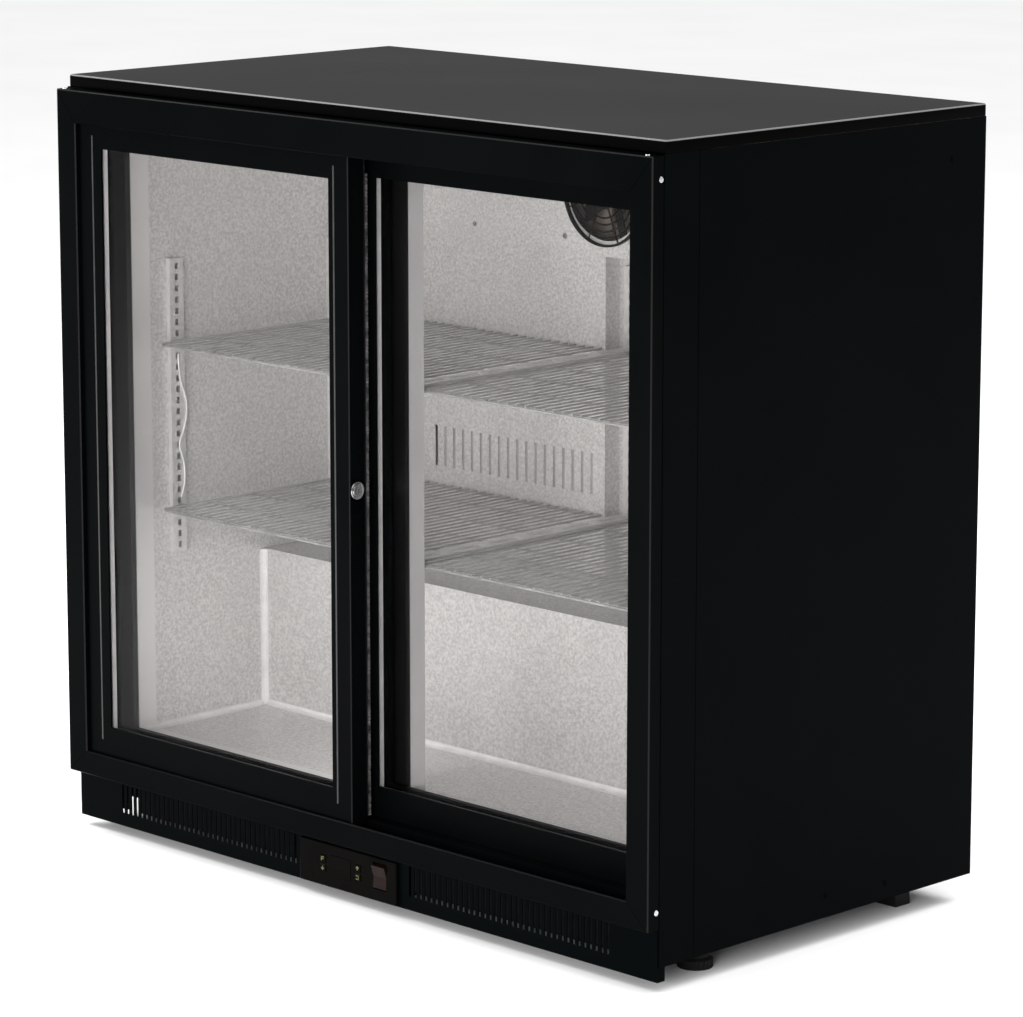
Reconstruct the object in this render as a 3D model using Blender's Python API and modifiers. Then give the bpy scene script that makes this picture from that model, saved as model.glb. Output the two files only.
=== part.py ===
"""Under-counter bottle fridge with two sliding glass doors.

Metres, +Z up. The origin is on the floor, under the middle of the cabinet.
+X runs to the right along the front, and +Y runs from the doors to the back.
"""

import math

import bmesh
import bpy
from mathutils import Matrix, Vector

# ---------------------------------------------------------------- driving dimensions
WIDTH = 0.900
DEPTH = 0.500
HEIGHT = 0.850
SHEET = 0.001  # thickness of the folded sheet metal
GAP = 0.0003  # air between two pieces that touch

HALF = WIDTH / 2
FRONT = -DEPTH / 2
BACK = DEPTH / 2
BODY_FRONT = FRONT + 0.0165  # front edge of the side panels
FLOOR_GAP = 0.027  # clear height under the cabinet
WORKTOP = 0.013  # height of the worktop's folded edge
WORKTOP_SETBACK = 0.019
WORKTOP_FOLD = 0.0012  # thickness of the worktop's sheet
WORKTOP_EDGE = 0.0008  # radius of the worktop's bent edges

WALL = 0.040  # insulated side wall, outer skin to liner
BACK_WALL = 0.050
CEILING = 0.805
FLOOR = 0.104
STEP_FRONT = 0.011  # the raised floor over the compressor
STEP_TOP = 0.289
STEP_WALL = 0.033

INNER = HALF - WALL  # inner face of each side wall
INNER_BACK = BACK - BACK_WALL
CASSETTE_BACK = -0.180  # rear face of the door surround
INNER_FRONT = CASSETTE_BACK + 0.0005

SURROUND_BOTTOM = 0.066
SURROUND_TOP = 0.8355
SURROUND_HALF = HALF - 0.0005
JAMB_FACE = 0.0308
HEAD_FACE = 0.0365
SILL_FACE = 0.0270
ARRIS = 0.0012  # chamfer along the surround's front edges
OPENING_HALF = SURROUND_HALF - JAMB_FACE
POST_HALF = 0.035
OPENING_LOW = SURROUND_BOTTOM + SILL_FACE
OPENING_HIGH = SURROUND_TOP - HEAD_FACE

DOOR_THICK = 0.0225
TRACK_FRONT = {"left": FRONT + 0.005, "right": FRONT + 0.043}  # front face of each door
DOOR_OUTER = OPENING_HALF - 0.0012  # door edge beside the jamb
DOOR_MEET = 0.0148  # how far each door passes the middle
DOOR_LOW = 0.0875
DOOR_HIGH = 0.808
OUTER_STILE = 0.0365
MEET_STILE = 0.0295
GLASS_LOW = 0.126
GLASS_HIGH = 0.774
GLASS_REBATE = 0.010  # how far the glass reaches into the frame
PANE = 0.004
GLASS_THICK = 0.014

ROLLER_RADIUS = 0.008
ROLLER_WIDTH = 0.005
RAIL_TOP = 0.084  # running edge that the rollers stand on
ROLLER_Z = RAIL_TOP + GAP + ROLLER_RADIUS
ROLLER_INSET = 0.060  # from each end of the door

LOCK_Z = 0.449
LOCK_RADIUS = 0.0075

SHELF_LEVELS = {"upper": 0.5495, "lower": 0.3615}  # top of the wires
SHELF_FRONT = -0.153
SHELF_BACK = 0.170
SHELF_THICK = 0.005
SHELF_INNER = 0.0145
SHELF_OUTER = 0.4005
WIRE_PITCH = 0.0132

PILASTER_LOW = 0.305
PILASTER_HIGH = 0.640
PILASTER_DEPTH = 0.006
PILASTER_WIDTH = 0.020
SLOT_PITCH = 0.0127

DUCT_FRONT = 0.175  # lower rear cover, which the air passes behind
DUCT_TOP = 0.6545
FAN_PLATE_FRONT = 0.152
FAN_Z = 0.727
FAN_RADIUS = 0.060

BAY_FRONT = STEP_FRONT + STEP_WALL
BAY_TOP = STEP_TOP - STEP_WALL
MACHINE_Y = 0.147  # middle of the compressor bay, front to back
BAY_HALF = 0.430
COMPRESSOR_X = 0.235

FOOT_X = {"front": 0.410, "rear": 0.404}
FOOT_Y = {"front": -0.138, "rear": 0.176}
FOOT_RADIUS = 0.0185
STUD_RADIUS = 0.0040
STUD_TOP = 0.0500
REAR_FOOT_WIDTH = 0.032
REAR_FOOT_DEPTH = 0.024
REAR_BASE_TOP = 0.015
REAR_NECK = 0.018

CONTROL_FRONT = FRONT + 0.0115
CONTROL_HALF = 0.0755
KEY_X = {"left": -0.038, "right": 0.0165}
KEY_Z = {"upper": 0.0425, "lower": 0.0325}
ROCKER_X = 0.050
ROCKER_Z = 0.040

# ---------------------------------------------------------------- scene and materials
for thing in list(bpy.data.objects):
    bpy.data.objects.remove(thing, do_unlink=True)

PARTS = bpy.data.collections.new("under_counter_fridge")
CUTTERS = bpy.data.collections.new("cutters")
bpy.context.scene.collection.children.link(PARTS)
bpy.context.scene.collection.children.link(CUTTERS)


def finish(name, color, roughness, metallic=0.0, alpha=1.0):
    """A Principled material with one colour, roughness and metallic value."""
    material = bpy.data.materials.new(name)
    material.use_nodes = True
    shader = material.node_tree.nodes["Principled BSDF"]
    shader.inputs["Base Color"].default_value = (*color, 1.0)
    shader.inputs["Roughness"].default_value = roughness
    shader.inputs["Metallic"].default_value = metallic
    shader.inputs["Alpha"].default_value = alpha
    return material


BLACK_STEEL = finish("black_painted_steel", (0.012, 0.014, 0.015), 0.35)
TOP_STEEL = finish("worktop_steel", (0.035, 0.035, 0.036), 0.25)
BLACK_FRAME = finish("black_frame", (0.010, 0.010, 0.011), 0.25)
STUCCO = finish("stucco_aluminium", (0.62, 0.62, 0.62), 0.40, 0.9)
GALVANISED = finish("galvanised_steel", (0.50, 0.51, 0.52), 0.45, 0.9)
CHROME = finish("chromed_wire", (0.70, 0.70, 0.70), 0.20, 1.0)
GLASS = finish("door_glass", (0.85, 0.90, 0.90), 0.02, 0.0, 0.3)
FOAM = finish("insulation_foam", (0.80, 0.72, 0.45), 0.9)
BLACK_PLASTIC = finish("black_plastic", (0.015, 0.015, 0.015), 0.45)
GLOSS_PLASTIC = finish("control_plastic", (0.020, 0.016, 0.014), 0.12)
RED_PLASTIC = finish("lit_red_plastic", (0.65, 0.05, 0.04), 0.25)
KEY_PLASTIC = finish("key_plastic", (0.45, 0.45, 0.10), 0.40)
BRUSH_PILE = finish("brush_pile", (0.35, 0.35, 0.35), 0.9)
NYLON = finish("nylon", (0.75, 0.75, 0.72), 0.5)
COPPER = finish("copper_and_fins", (0.60, 0.45, 0.38), 0.4, 0.8)
RUBBER = finish("foot_rubber", (0.020, 0.020, 0.020), 0.7)


# ---------------------------------------------------------------- modelling helpers
def place(name, mesh, location=(0, 0, 0), material=None):
    """Puts a mesh in the parts collection, or among the cutters when it has no material."""
    thing = bpy.data.objects.new(name, mesh)
    thing.location = location
    if material is None:
        CUTTERS.objects.link(thing)
        thing.hide_render = True
        thing.display_type = "WIRE"
    else:
        PARTS.objects.link(thing)
        mesh.materials.append(material)
    return thing


def mesh_from(name, bm):
    """Turns a bmesh into a mesh with its faces pointing out."""
    bmesh.ops.recalc_face_normals(bm, faces=bm.faces)
    mesh = bpy.data.meshes.new(name)
    bm.to_mesh(mesh)
    bm.free()
    return mesh


def box(name, low, high, material=None, origin=None):
    """A box between two corners. Its origin is its middle unless one is given."""
    low = Vector(low)
    high = Vector(high)
    middle = (low + high) / 2
    origin = Vector(origin) if origin else middle
    bm = bmesh.new()
    bmesh.ops.create_cube(bm, size=1.0)
    bmesh.ops.scale(bm, vec=high - low, verts=bm.verts)
    bmesh.ops.translate(bm, vec=middle - origin, verts=bm.verts)
    return place(name, mesh_from(name, bm), origin, material)


TURN_TO = {
    "X": Matrix.Rotation(math.pi / 2, 4, "Y"),
    "Y": Matrix.Rotation(-math.pi / 2, 4, "X"),
    "Z": Matrix.Identity(4),
}


def smooth(thing):
    """Smooth shading with sharp edges kept, for round pieces."""
    thing.data.shade_smooth()
    thing.data.set_sharp_from_angle(angle=math.radians(35))
    return thing


def cylinder(name, centre, axis, length, radius, material=None, segments=32, tip_radius=None):
    """A cylinder or cone about a row axis; tip_radius is at its end towards +axis."""
    bm = bmesh.new()
    bmesh.ops.create_cone(
        bm,
        cap_ends=True,
        segments=segments,
        radius1=radius,
        radius2=radius if tip_radius is None else tip_radius,
        depth=length,
    )
    bmesh.ops.transform(bm, matrix=TURN_TO[axis], verts=bm.verts)
    return smooth(place(name, mesh_from(name, bm), centre, material))


def spread(axis, a, b, along):
    """The point at (a, b) in the plane across an axis, and at along on that axis."""
    return {"X": (along, a, b), "Y": (a, along, b), "Z": (a, b, along)}[axis]


def plate(name, outline, axis, start, end, material=None):
    """A flat outline, given across the axis, extruded from start to end along it."""
    bm = bmesh.new()
    corners = [bm.verts.new(spread(axis, a, b, start)) for a, b in outline]
    face = bm.faces.new(corners)
    grown = bmesh.ops.extrude_face_region(bm, geom=[face])["geom"]
    moved = [v for v in grown if isinstance(v, bmesh.types.BMVert)]
    bmesh.ops.translate(bm, vec=spread(axis, 0, 0, end - start), verts=moved)
    return place(name, mesh_from(name, bm), (0, 0, 0), material)


def folded(name, line, axis, start, end, material, thickness=SHEET):
    """Sheet metal bent along an open line, given across the axis, from start to end along it."""
    bm = bmesh.new()
    corners = [bm.verts.new(spread(axis, a, b, start)) for a, b in line]
    edges = [bm.edges.new(pair) for pair in zip(corners, corners[1:])]
    grown = bmesh.ops.extrude_edge_only(bm, edges=edges)["geom"]
    moved = [v for v in grown if isinstance(v, bmesh.types.BMVert)]
    bmesh.ops.translate(bm, vec=spread(axis, 0, 0, end - start), verts=moved)
    thing = place(name, mesh_from(name, bm), (0, 0, 0), material)
    wall = thing.modifiers.new("sheet", "SOLIDIFY")
    wall.thickness = thickness
    wall.offset = 0.0
    wall.use_even_offset = True
    return thing


def turned(name, profile, centre, material, segments=32):
    """A shape turned about +Z from (radius, height) points, listed from top to bottom."""
    bm = bmesh.new()
    corners = [bm.verts.new((radius, 0, height)) for radius, height in profile]
    for pair in zip(corners, corners[1:]):
        bm.edges.new(pair)
    mesh = bpy.data.meshes.new(name)
    bm.to_mesh(mesh)
    bm.free()
    thing = place(name, mesh, centre, material)
    screw = thing.modifiers.new("turn", "SCREW")
    screw.steps = segments
    screw.render_steps = segments
    screw.use_merge_vertices = True
    screw.use_smooth_shade = True
    screw.merge_threshold = 0.00001
    return thing


def repeat(thing, step, count):
    """Repeats a cutter in a straight row."""
    row = thing.modifiers.new("row", "ARRAY")
    row.count = count
    row.use_relative_offset = False
    row.use_constant_offset = True
    row.constant_offset_displace = step
    return thing


def combine(target, other, operation):
    """A live Boolean between a piece and a shape that is not itself a piece."""
    step = target.modifiers.new(operation.lower(), "BOOLEAN")
    step.operation = operation
    step.solver = "EXACT"
    step.object = other
    return target


def cut(target, cutter):
    return combine(target, cutter, "DIFFERENCE")


def join(target, other):
    return combine(target, other, "UNION")


def soften(thing, width, segments=1):
    """Rounds every edge that is sharper than 40 degrees."""
    bevel = thing.modifiers.new("edges", "BEVEL")
    bevel.width = width
    bevel.segments = segments
    bevel.limit_method = "ANGLE"
    bevel.angle_limit = math.radians(40)
    bevel.harden_normals = False
    return thing


def axis_point(name, location):
    """An empty on a joint's axis, which the pieces that move together hang from."""
    empty = bpy.data.objects.new(name, None)
    empty.location = location
    empty.empty_display_size = 0.03
    PARTS.objects.link(empty)
    return empty


def hang(child, parent):
    """Parents a piece and leaves it where it is."""
    child.parent = parent
    child.matrix_parent_inverse = Matrix.Translation(-parent.location)
    return child


SIDES = {"left": -1, "right": 1}


def ordered(a, b):
    return (min(a, b), max(a, b))


def side_box(name, side, x_range, y_range, z_range, material=None):
    """A box on one side of the cabinet; x_range is measured out from the middle."""
    near, far = ordered(side * x_range[0], side * x_range[1])
    return box(name, (near, y_range[0], z_range[0]), (far, y_range[1], z_range[1]), material)


# ---------------------------------------------------------------- outer shell
def outer_shell():
    lip_low = HEIGHT - WORKTOP
    for word, side in SIDES.items():
        panel = side_box(
            f"side_panel_{word}",
            side,
            (HALF - SHEET, HALF),
            (BODY_FRONT, BACK),
            (FLOOR_GAP, lip_low - GAP),
            BLACK_STEEL,
        )
        groove = side_box(
            f"cut_seam_{word}",
            side,
            (HALF - 0.0004, HALF + 0.001),
            (CASSETTE_BACK - 0.0046, CASSETTE_BACK - 0.0036),
            (0, HEIGHT),
        )
        cut(panel, groove)

    top_front = FRONT + WORKTOP_SETBACK
    worktop = box("worktop", (-HALF, top_front, lip_low), (HALF, BACK, HEIGHT), TOP_STEEL)
    hollow = box(
        "cut_worktop",
        (-HALF + WORKTOP_FOLD, top_front + WORKTOP_FOLD, lip_low - 0.01),
        (HALF - WORKTOP_FOLD, BACK - WORKTOP_FOLD, HEIGHT - WORKTOP_FOLD),
    )
    soften(worktop, WORKTOP_EDGE, 2)
    cut(worktop, hollow)

    inside = HALF - SHEET - 0.0004
    back = box(
        "back_panel",
        (-inside, BACK - SHEET, FLOOR_GAP + 0.003),
        (inside, BACK, lip_low - 0.0006),
        BLACK_STEEL,
    )
    for word, side in SIDES.items():
        first = side * 0.215 - 0.010 * 8
        louvre = box(
            f"cut_back_louvre_{word}",
            (first - 0.002, BACK - 0.01, 0.110),
            (first + 0.002, BACK + 0.01, 0.200),
        )
        cut(back, repeat(louvre, (0.010, 0, 0), 17))
    cut(back, box("cut_inlet", (-0.3850, BACK - 0.01, 0.0500), (-0.3450, BACK + 0.01, 0.0780)))

    pan_line = [
        (-inside + 0.0006, 0.045),
        (-inside + 0.0006, FLOOR_GAP + 0.0015),
        (inside - 0.0006, FLOOR_GAP + 0.0015),
        (inside - 0.0006, 0.045),
    ]
    pan = folded("base_pan", pan_line, "Y", CASSETTE_BACK - 0.005, BACK - 0.0016, BLACK_STEEL, 0.0012)
    for word, side in SIDES.items():
        for end, y in FOOT_Y.items():
            centre = (side * FOOT_X[end], y, 0.03)
            hole = cylinder(f"cut_stud_{end}_{word}", centre, "Z", 0.02, STUD_RADIUS + 0.0008, segments=16)
            cut(pan, hole)


def insulation():
    """Foam between the skins: a block less the cabinet's inside and less the compressor bay."""
    foam = box(
        "insulation_foam",
        (-HALF + 0.0016, INNER_FRONT + 0.0005, 0.0735),
        (HALF - 0.0016, BACK - 0.0014, HEIGHT - 0.0015),
        FOAM,
    )
    reach = INNER + SHEET + GAP
    ceiling = CEILING + SHEET + GAP
    rear = INNER_BACK + SHEET + GAP
    step = STEP_FRONT + SHEET + GAP
    tall = box("cut_inside_front", (-reach, -0.3, FLOOR - SHEET - GAP), (reach, step, ceiling))
    short = box("cut_inside_back", (-reach, step - 0.05, STEP_TOP - SHEET - GAP), (reach, rear, ceiling))
    bay = box("cut_bay", (-BAY_HALF, BAY_FRONT, 0), (BAY_HALF, 0.3, BAY_TOP))
    for cutter in (tall, short, bay):
        cut(foam, cutter)


# ---------------------------------------------------------------- liner
def liner():
    wall_outline = [
        (INNER_FRONT, FLOOR + 0.0005),
        (STEP_FRONT - 0.0005, FLOOR + 0.0005),
        (STEP_FRONT - 0.0005, STEP_TOP + 0.0005),
        (INNER_BACK - GAP, STEP_TOP + 0.0005),
        (INNER_BACK - GAP, CEILING - GAP),
        (INNER_FRONT, CEILING - GAP),
    ]
    for word, side in SIDES.items():
        start, end = ordered(side * INNER, side * (INNER + SHEET))
        plate(f"liner_{word}", wall_outline, "X", start, end, STUCCO)

    reach = INNER + SHEET - 0.0001
    box(
        "liner_ceiling",
        (-reach, INNER_FRONT, CEILING),
        (reach, INNER_BACK + SHEET, CEILING + SHEET),
        STUCCO,
    )
    box(
        "liner_back",
        (-reach, INNER_BACK, STEP_TOP + 0.0005),
        (reach, INNER_BACK + SHEET, CEILING - GAP),
        STUCCO,
    )
    floor_line = [
        (INNER_FRONT, FLOOR - SHEET / 2),
        (STEP_FRONT + SHEET / 2, FLOOR - SHEET / 2),
        (STEP_FRONT + SHEET / 2, STEP_TOP - SHEET / 2),
        (INNER_BACK + SHEET, STEP_TOP - SHEET / 2),
    ]
    folded("liner_floor", floor_line, "X", -reach, reach, STUCCO)


# ---------------------------------------------------------------- door surround
def mitred(name, profile, axis, outer, inner, corner_low, corner_high):
    """A surround member with mitred ends.

    profile holds (across, y) points. Between its outer and inner edge the member's ends run
    from the surround's outer corners, corner_low and corner_high, to the opening's.
    """
    bm = bmesh.new()
    rings = []
    for corner, opening in (corner_low, corner_high):
        ring = []
        for across, y in profile:
            share = (across - outer) / (inner - outer)
            along = corner + (opening - corner) * share
            along -= math.copysign(0.00025, corner - opening)
            point = (along, y, across) if axis == "X" else (across, y, along)
            ring.append(bm.verts.new(point))
        rings.append(ring)
    first = [bm.edges.new((a, b)) for a, b in zip(rings[0], rings[0][1:] + rings[0][:1])]
    second = [bm.edges.new((a, b)) for a, b in zip(rings[1], rings[1][1:] + rings[1][:1])]
    bmesh.ops.bridge_loops(bm, edges=first + second)
    bm.faces.new(rings[0])
    bm.faces.new(rings[1])
    return place(name, mesh_from(name, bm), (0, 0, 0), BLACK_FRAME)


def surround():
    shoulder = BODY_FRONT - 0.0006  # the surround is wider in front of the side panels
    hidden = HALF - SHEET - 0.0006
    rise = (SURROUND_BOTTOM, OPENING_LOW), (SURROUND_TOP, OPENING_HIGH)
    run = (-SURROUND_HALF, -OPENING_HALF), (SURROUND_HALF, OPENING_HALF)

    for word, side in SIDES.items():
        profile = [
            (side * SURROUND_HALF, FRONT + ARRIS),
            (side * (SURROUND_HALF - ARRIS), FRONT),
            (side * (OPENING_HALF + ARRIS), FRONT),
            (side * OPENING_HALF, FRONT + ARRIS),
            (side * OPENING_HALF, CASSETTE_BACK),
            (side * hidden, CASSETTE_BACK),
            (side * hidden, shoulder),
            (side * SURROUND_HALF, shoulder),
        ]
        mitred(f"frame_jamb_{word}", profile, "Z", side * SURROUND_HALF, side * OPENING_HALF, *rise)

    lip = 0.0035
    pocket = DOOR_THICK + 0.0025
    first = FRONT + lip
    second = TRACK_FRONT["right"] - 0.0015
    roof = DOOR_HIGH + 0.005
    head = [
        (SURROUND_TOP, FRONT + ARRIS),
        (SURROUND_TOP - ARRIS, FRONT),
        (OPENING_HIGH + ARRIS, FRONT),
        (OPENING_HIGH, FRONT + ARRIS),
        (OPENING_HIGH, first),
        (roof, first),
        (roof, first + pocket),
        (OPENING_HIGH, first + pocket),
        (OPENING_HIGH, second),
        (roof, second),
        (roof, second + pocket),
        (OPENING_HIGH, second + pocket),
        (OPENING_HIGH, CASSETTE_BACK),
        (SURROUND_TOP, CASSETTE_BACK),
    ]
    top = mitred("frame_head", head, "X", SURROUND_TOP, OPENING_HIGH, *run)

    bed = RAIL_TOP - 0.004
    rail = 0.00175
    sill = [
        (SURROUND_BOTTOM, FRONT + ARRIS),
        (SURROUND_BOTTOM + ARRIS, FRONT),
        (OPENING_LOW - ARRIS, FRONT),
        (OPENING_LOW, FRONT + ARRIS),
    ]
    for start, word in ((first, "left"), (second, "right")):
        middle = TRACK_FRONT[word] + DOOR_THICK / 2
        sill += [
            (OPENING_LOW, start),
            (bed, start),
            (bed, middle - rail),
            (RAIL_TOP, middle - rail),
            (RAIL_TOP, middle + rail),
            (bed, middle + rail),
            (bed, start + pocket),
            (OPENING_LOW, start + pocket),
        ]
    sill += [(OPENING_LOW, CASSETTE_BACK), (SURROUND_BOTTOM, CASSETTE_BACK)]
    bottom = mitred("frame_sill", sill, "X", SURROUND_BOTTOM, OPENING_LOW, *run)

    for word, side in SIDES.items():
        shave = side_box(f"cut_shoulder_{word}", side, (hidden, 0.6), (shoulder, 0), (0, 1))
        cut(top, shave)
        cut(bottom, shave)

    box(
        "centre_post",
        (-POST_HALF, INNER_FRONT, FLOOR + 0.0005),
        (POST_HALF, CASSETTE_BACK + 0.023, CEILING - 0.0005),
        BLACK_FRAME,
    )


def kick_plate():
    reach = HALF - SHEET - 0.0010
    front = BODY_FRONT - SHEET / 2
    line = [(-reach, front + 0.0105), (-reach, front), (reach, front), (reach, front + 0.0105)]
    kick = folded("kick_plate", line, "Z", 0.0115, SURROUND_BOTTOM - 0.0005, BLACK_STEEL)
    for first, count in ((-0.3745, 37), (0.0925, 37)):
        slot = box(
            f"cut_kick_{count}_{first}",
            (first - 0.0016, front - 0.01, 0.0265),
            (first + 0.0016, front + 0.005, 0.0590),
        )
        cut(kick, repeat(slot, (0.008, 0, 0), count))
    opening = box("cut_control", (-0.0715, front - 0.01, 0.0170), (0.0715, front + 0.005, 0.0555))
    cut(kick, opening)


# ---------------------------------------------------------------- controls
def controls():
    behind = BODY_FRONT - SHEET - GAP
    bezel = box(
        "controller_housing",
        (-CONTROL_HALF, CONTROL_FRONT, 0.0125),
        (CONTROL_HALF, behind, 0.0600),
        GLOSS_PLASTIC,
    )
    body = box("join_control_body", (-0.0710, behind - 0.002, 0.0175), (0.0710, -0.190, 0.0550))
    soften(bezel, 0.0012, 2)
    join(bezel, body)

    pane = ((-0.0270, 0.0265), (0.0050, 0.0485))
    (x0, z0), (x1, z1) = pane
    cut(bezel, box("cut_display", (x0 - GAP, -0.3, z0 - GAP), (x1 + GAP, CONTROL_FRONT + 0.0012, z1 + GAP)))
    box("display_window", (x0, CONTROL_FRONT - 0.0004, z0), (x1, CONTROL_FRONT + 0.0009, z1), GLOSS_PLASTIC)

    half_x = 0.0045
    half_z = 0.0038
    for row, z in KEY_Z.items():
        for word, x in KEY_X.items():
            well = box(
                f"cut_key_{row}_{word}",
                (x - half_x - GAP, -0.3, z - half_z - GAP),
                (x + half_x + GAP, CONTROL_FRONT + 0.0045, z + half_z + GAP),
            )
            cut(bezel, well)
            key = box(
                f"key_{row}_{word}",
                (x - half_x, CONTROL_FRONT - 0.0009, z - half_z),
                (x + half_x, CONTROL_FRONT + 0.0030, z + half_z),
                KEY_PLASTIC,
                origin=(x, CONTROL_FRONT, z),
            )
            soften(key, 0.0004)

    half_x = 0.0100
    reach = 0.0125
    pivot = Vector((ROCKER_X, CONTROL_FRONT + 0.005, ROCKER_Z))
    well = box(
        "cut_rocker",
        (ROCKER_X - half_x - GAP, -0.3, ROCKER_Z - 0.0147),
        (ROCKER_X + half_x + GAP, CONTROL_FRONT + 0.0150, ROCKER_Z + 0.0147),
    )
    cut(bezel, well)
    profile = [
        (-0.0068, -reach),
        (-0.0046, 0.0),
        (-0.0068, reach),
        (0.0010, reach),
        (0.0070, 0.0055),
        (0.0070, -0.0055),
        (0.0010, -reach),
    ]
    rocker = plate("rocker_switch", profile, "X", -half_x, half_x, RED_PLASTIC)
    rocker.location = pivot
    rocker.rotation_euler = (math.radians(7), 0, 0)


# ---------------------------------------------------------------- sliding doors
def door(word):
    """One sliding door: frame, double glazing and two rollers, hung from one empty."""
    side = SIDES[word]
    front = TRACK_FRONT[word]
    rear = front + DOOR_THICK
    middle = (front + rear) / 2
    low_x, high_x = ordered(side * DOOR_OUTER, -side * DOOR_MEET)
    slide = axis_point(f"axis_{word}_door", (0, middle, DOOR_LOW))

    outer_glass = side * (DOOR_OUTER - OUTER_STILE)
    meet_glass = side * (MEET_STILE - DOOR_MEET)
    see_x = ordered(outer_glass, meet_glass)
    pane_front = front + 0.0025
    pane_rear = pane_front + GLASS_THICK

    frame = box(f"door_{word}_frame", (low_x, front, DOOR_LOW), (high_x, rear, DOOR_HIGH), BLACK_FRAME)
    opening = box(
        f"cut_door_{word}_opening",
        (see_x[0], front - 0.01, GLASS_LOW),
        (see_x[1], rear + 0.01, GLASS_HIGH),
    )
    rebate = box(
        f"cut_door_{word}_rebate",
        (see_x[0] - GLASS_REBATE - GAP, pane_front - GAP, GLASS_LOW - GLASS_REBATE - GAP),
        (see_x[1] + GLASS_REBATE + GAP, pane_rear + GAP, GLASS_HIGH + GLASS_REBATE + GAP),
    )
    soften(frame, 0.0010)
    cut(frame, opening)
    cut(frame, rebate)

    unit = box(
        f"door_{word}_glass",
        (see_x[0] - GLASS_REBATE, pane_front, GLASS_LOW - GLASS_REBATE),
        (see_x[1] + GLASS_REBATE, pane_rear, GLASS_HIGH + GLASS_REBATE),
        GLASS,
    )
    cavity = box(
        f"cut_door_{word}_cavity",
        (see_x[0], pane_front + PANE, GLASS_LOW),
        (see_x[1], pane_rear - PANE, GLASS_HIGH),
    )
    breather = cylinder(
        f"cut_door_{word}_breather",
        (side * 0.2, (pane_front + pane_rear) / 2, GLASS_HIGH),
        "Z",
        0.03,
        0.0015,
        segments=12,
    )
    cut(unit, cavity)
    cut(unit, breather)

    well_half = ROLLER_RADIUS + 0.0015
    for end, x in (("a", low_x + ROLLER_INSET), ("b", high_x - ROLLER_INSET)):
        well = box(
            f"cut_roller_{word}_{end}",
            (x - well_half, middle - ROLLER_WIDTH / 2 - 0.001, DOOR_LOW - 0.01),
            (x + well_half, middle + ROLLER_WIDTH / 2 + 0.001, ROLLER_Z + well_half),
        )
        hub = (x, middle, ROLLER_Z)
        bearing = cylinder(f"cut_bearing_{word}_{end}", hub, "Y", 0.0130, 0.0023, segments=10)
        cut(frame, well)
        cut(frame, bearing)
        roller = cylinder(f"door_{word}_roller_{end}", hub, "Y", ROLLER_WIDTH, ROLLER_RADIUS, NYLON, 20)
        axle = cylinder(f"join_axle_{word}_{end}", hub, "Y", 0.0120, 0.0019, segments=10)
        join(roller, axle)
        hang(roller, slide)
    hang(frame, slide)
    hang(unit, slide)
    return frame, slide, middle, rear


def doors():
    frame, slide, middle, rear = door("left")
    edge = DOOR_MEET
    cam = (0.0052, 0.0088)
    reach = 0.0285
    bore = cylinder("cut_lock_bore", (edge, middle, LOCK_Z), "X", 0.0320, LOCK_RADIUS + GAP, segments=32)
    slot = box(
        "cut_cam_slot",
        (cam[0] - 0.0007, middle - 0.0040, LOCK_Z - 0.0080),
        (cam[1] + 0.0007, rear + 0.01, LOCK_Z + reach + 0.0015),
    )
    cut(frame, bore)
    cut(frame, slot)

    pivot = (0.0090, middle, LOCK_Z)
    barrel = cylinder("lock_cylinder", pivot, "X", 0.0160, LOCK_RADIUS, CHROME, 32)
    arm = box("join_lock_cam", (cam[0], middle - 0.003, LOCK_Z), (cam[1], middle + 0.003, LOCK_Z + reach))
    key_slot = box(
        "cut_key_slot",
        (0.0145, middle - 0.0005, LOCK_Z - 0.003),
        (0.0200, middle + 0.0005, LOCK_Z + 0.003),
    )
    join(barrel, arm)
    cut(barrel, key_slot)
    hang(barrel, slide)

    brush = box(
        "brush_seal",
        (edge - 0.0050, rear + GAP, DOOR_LOW + 0.0080),
        (edge - 0.0006, rear + 0.0065, DOOR_HIGH - 0.0100),
        BRUSH_PILE,
    )
    hang(brush, slide)

    back_frame = door("right")[0]
    front = TRACK_FRONT["right"]
    keeper = box(
        "cut_keeper",
        (cam[0] - 0.0012, front - 0.01, LOCK_Z - 0.0055),
        (cam[1] + 0.0012, front + 0.0040, LOCK_Z + 0.0125),
    )
    cut(back_frame, keeper)


# ---------------------------------------------------------------- racking
def pilaster(name, side, y, x=None):
    """A slotted shelf strip: on a side wall at y, or on the back wall at x when side is 0."""
    half = PILASTER_WIDTH / 2
    height = PILASTER_HIGH - PILASTER_LOW
    count = int(height / SLOT_PITCH)
    first = PILASTER_LOW + (height - (count - 1) * SLOT_PITCH) / 2
    web = SHEET / 2
    if side:
        base = side * (INNER - GAP)
        face = side * (INNER - GAP - PILASTER_DEPTH + web)
        front, rear = y - half + web, y + half - web
        line = [(base, front), (face, front), (face, rear), (base, rear)]
        slot_low = (face - 0.0030, y - 0.0025, first - 0.0035)
        slot_high = (face + 0.0030, y + 0.0025, first + 0.0035)
    else:
        base = y
        face = y - PILASTER_DEPTH + web
        left, right = x - half + web, x + half - web
        line = [(left, base), (left, face), (right, face), (right, base)]
        slot_low = (x - 0.0025, face - 0.0030, first - 0.0035)
        slot_high = (x + 0.0025, face + 0.0030, first + 0.0035)
    strip = folded(name, line, "Z", PILASTER_LOW, PILASTER_HIGH, GALVANISED)
    cut(strip, repeat(box(f"cut_{name}", slot_low, slot_high), (0, 0, SLOT_PITCH), count))


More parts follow.
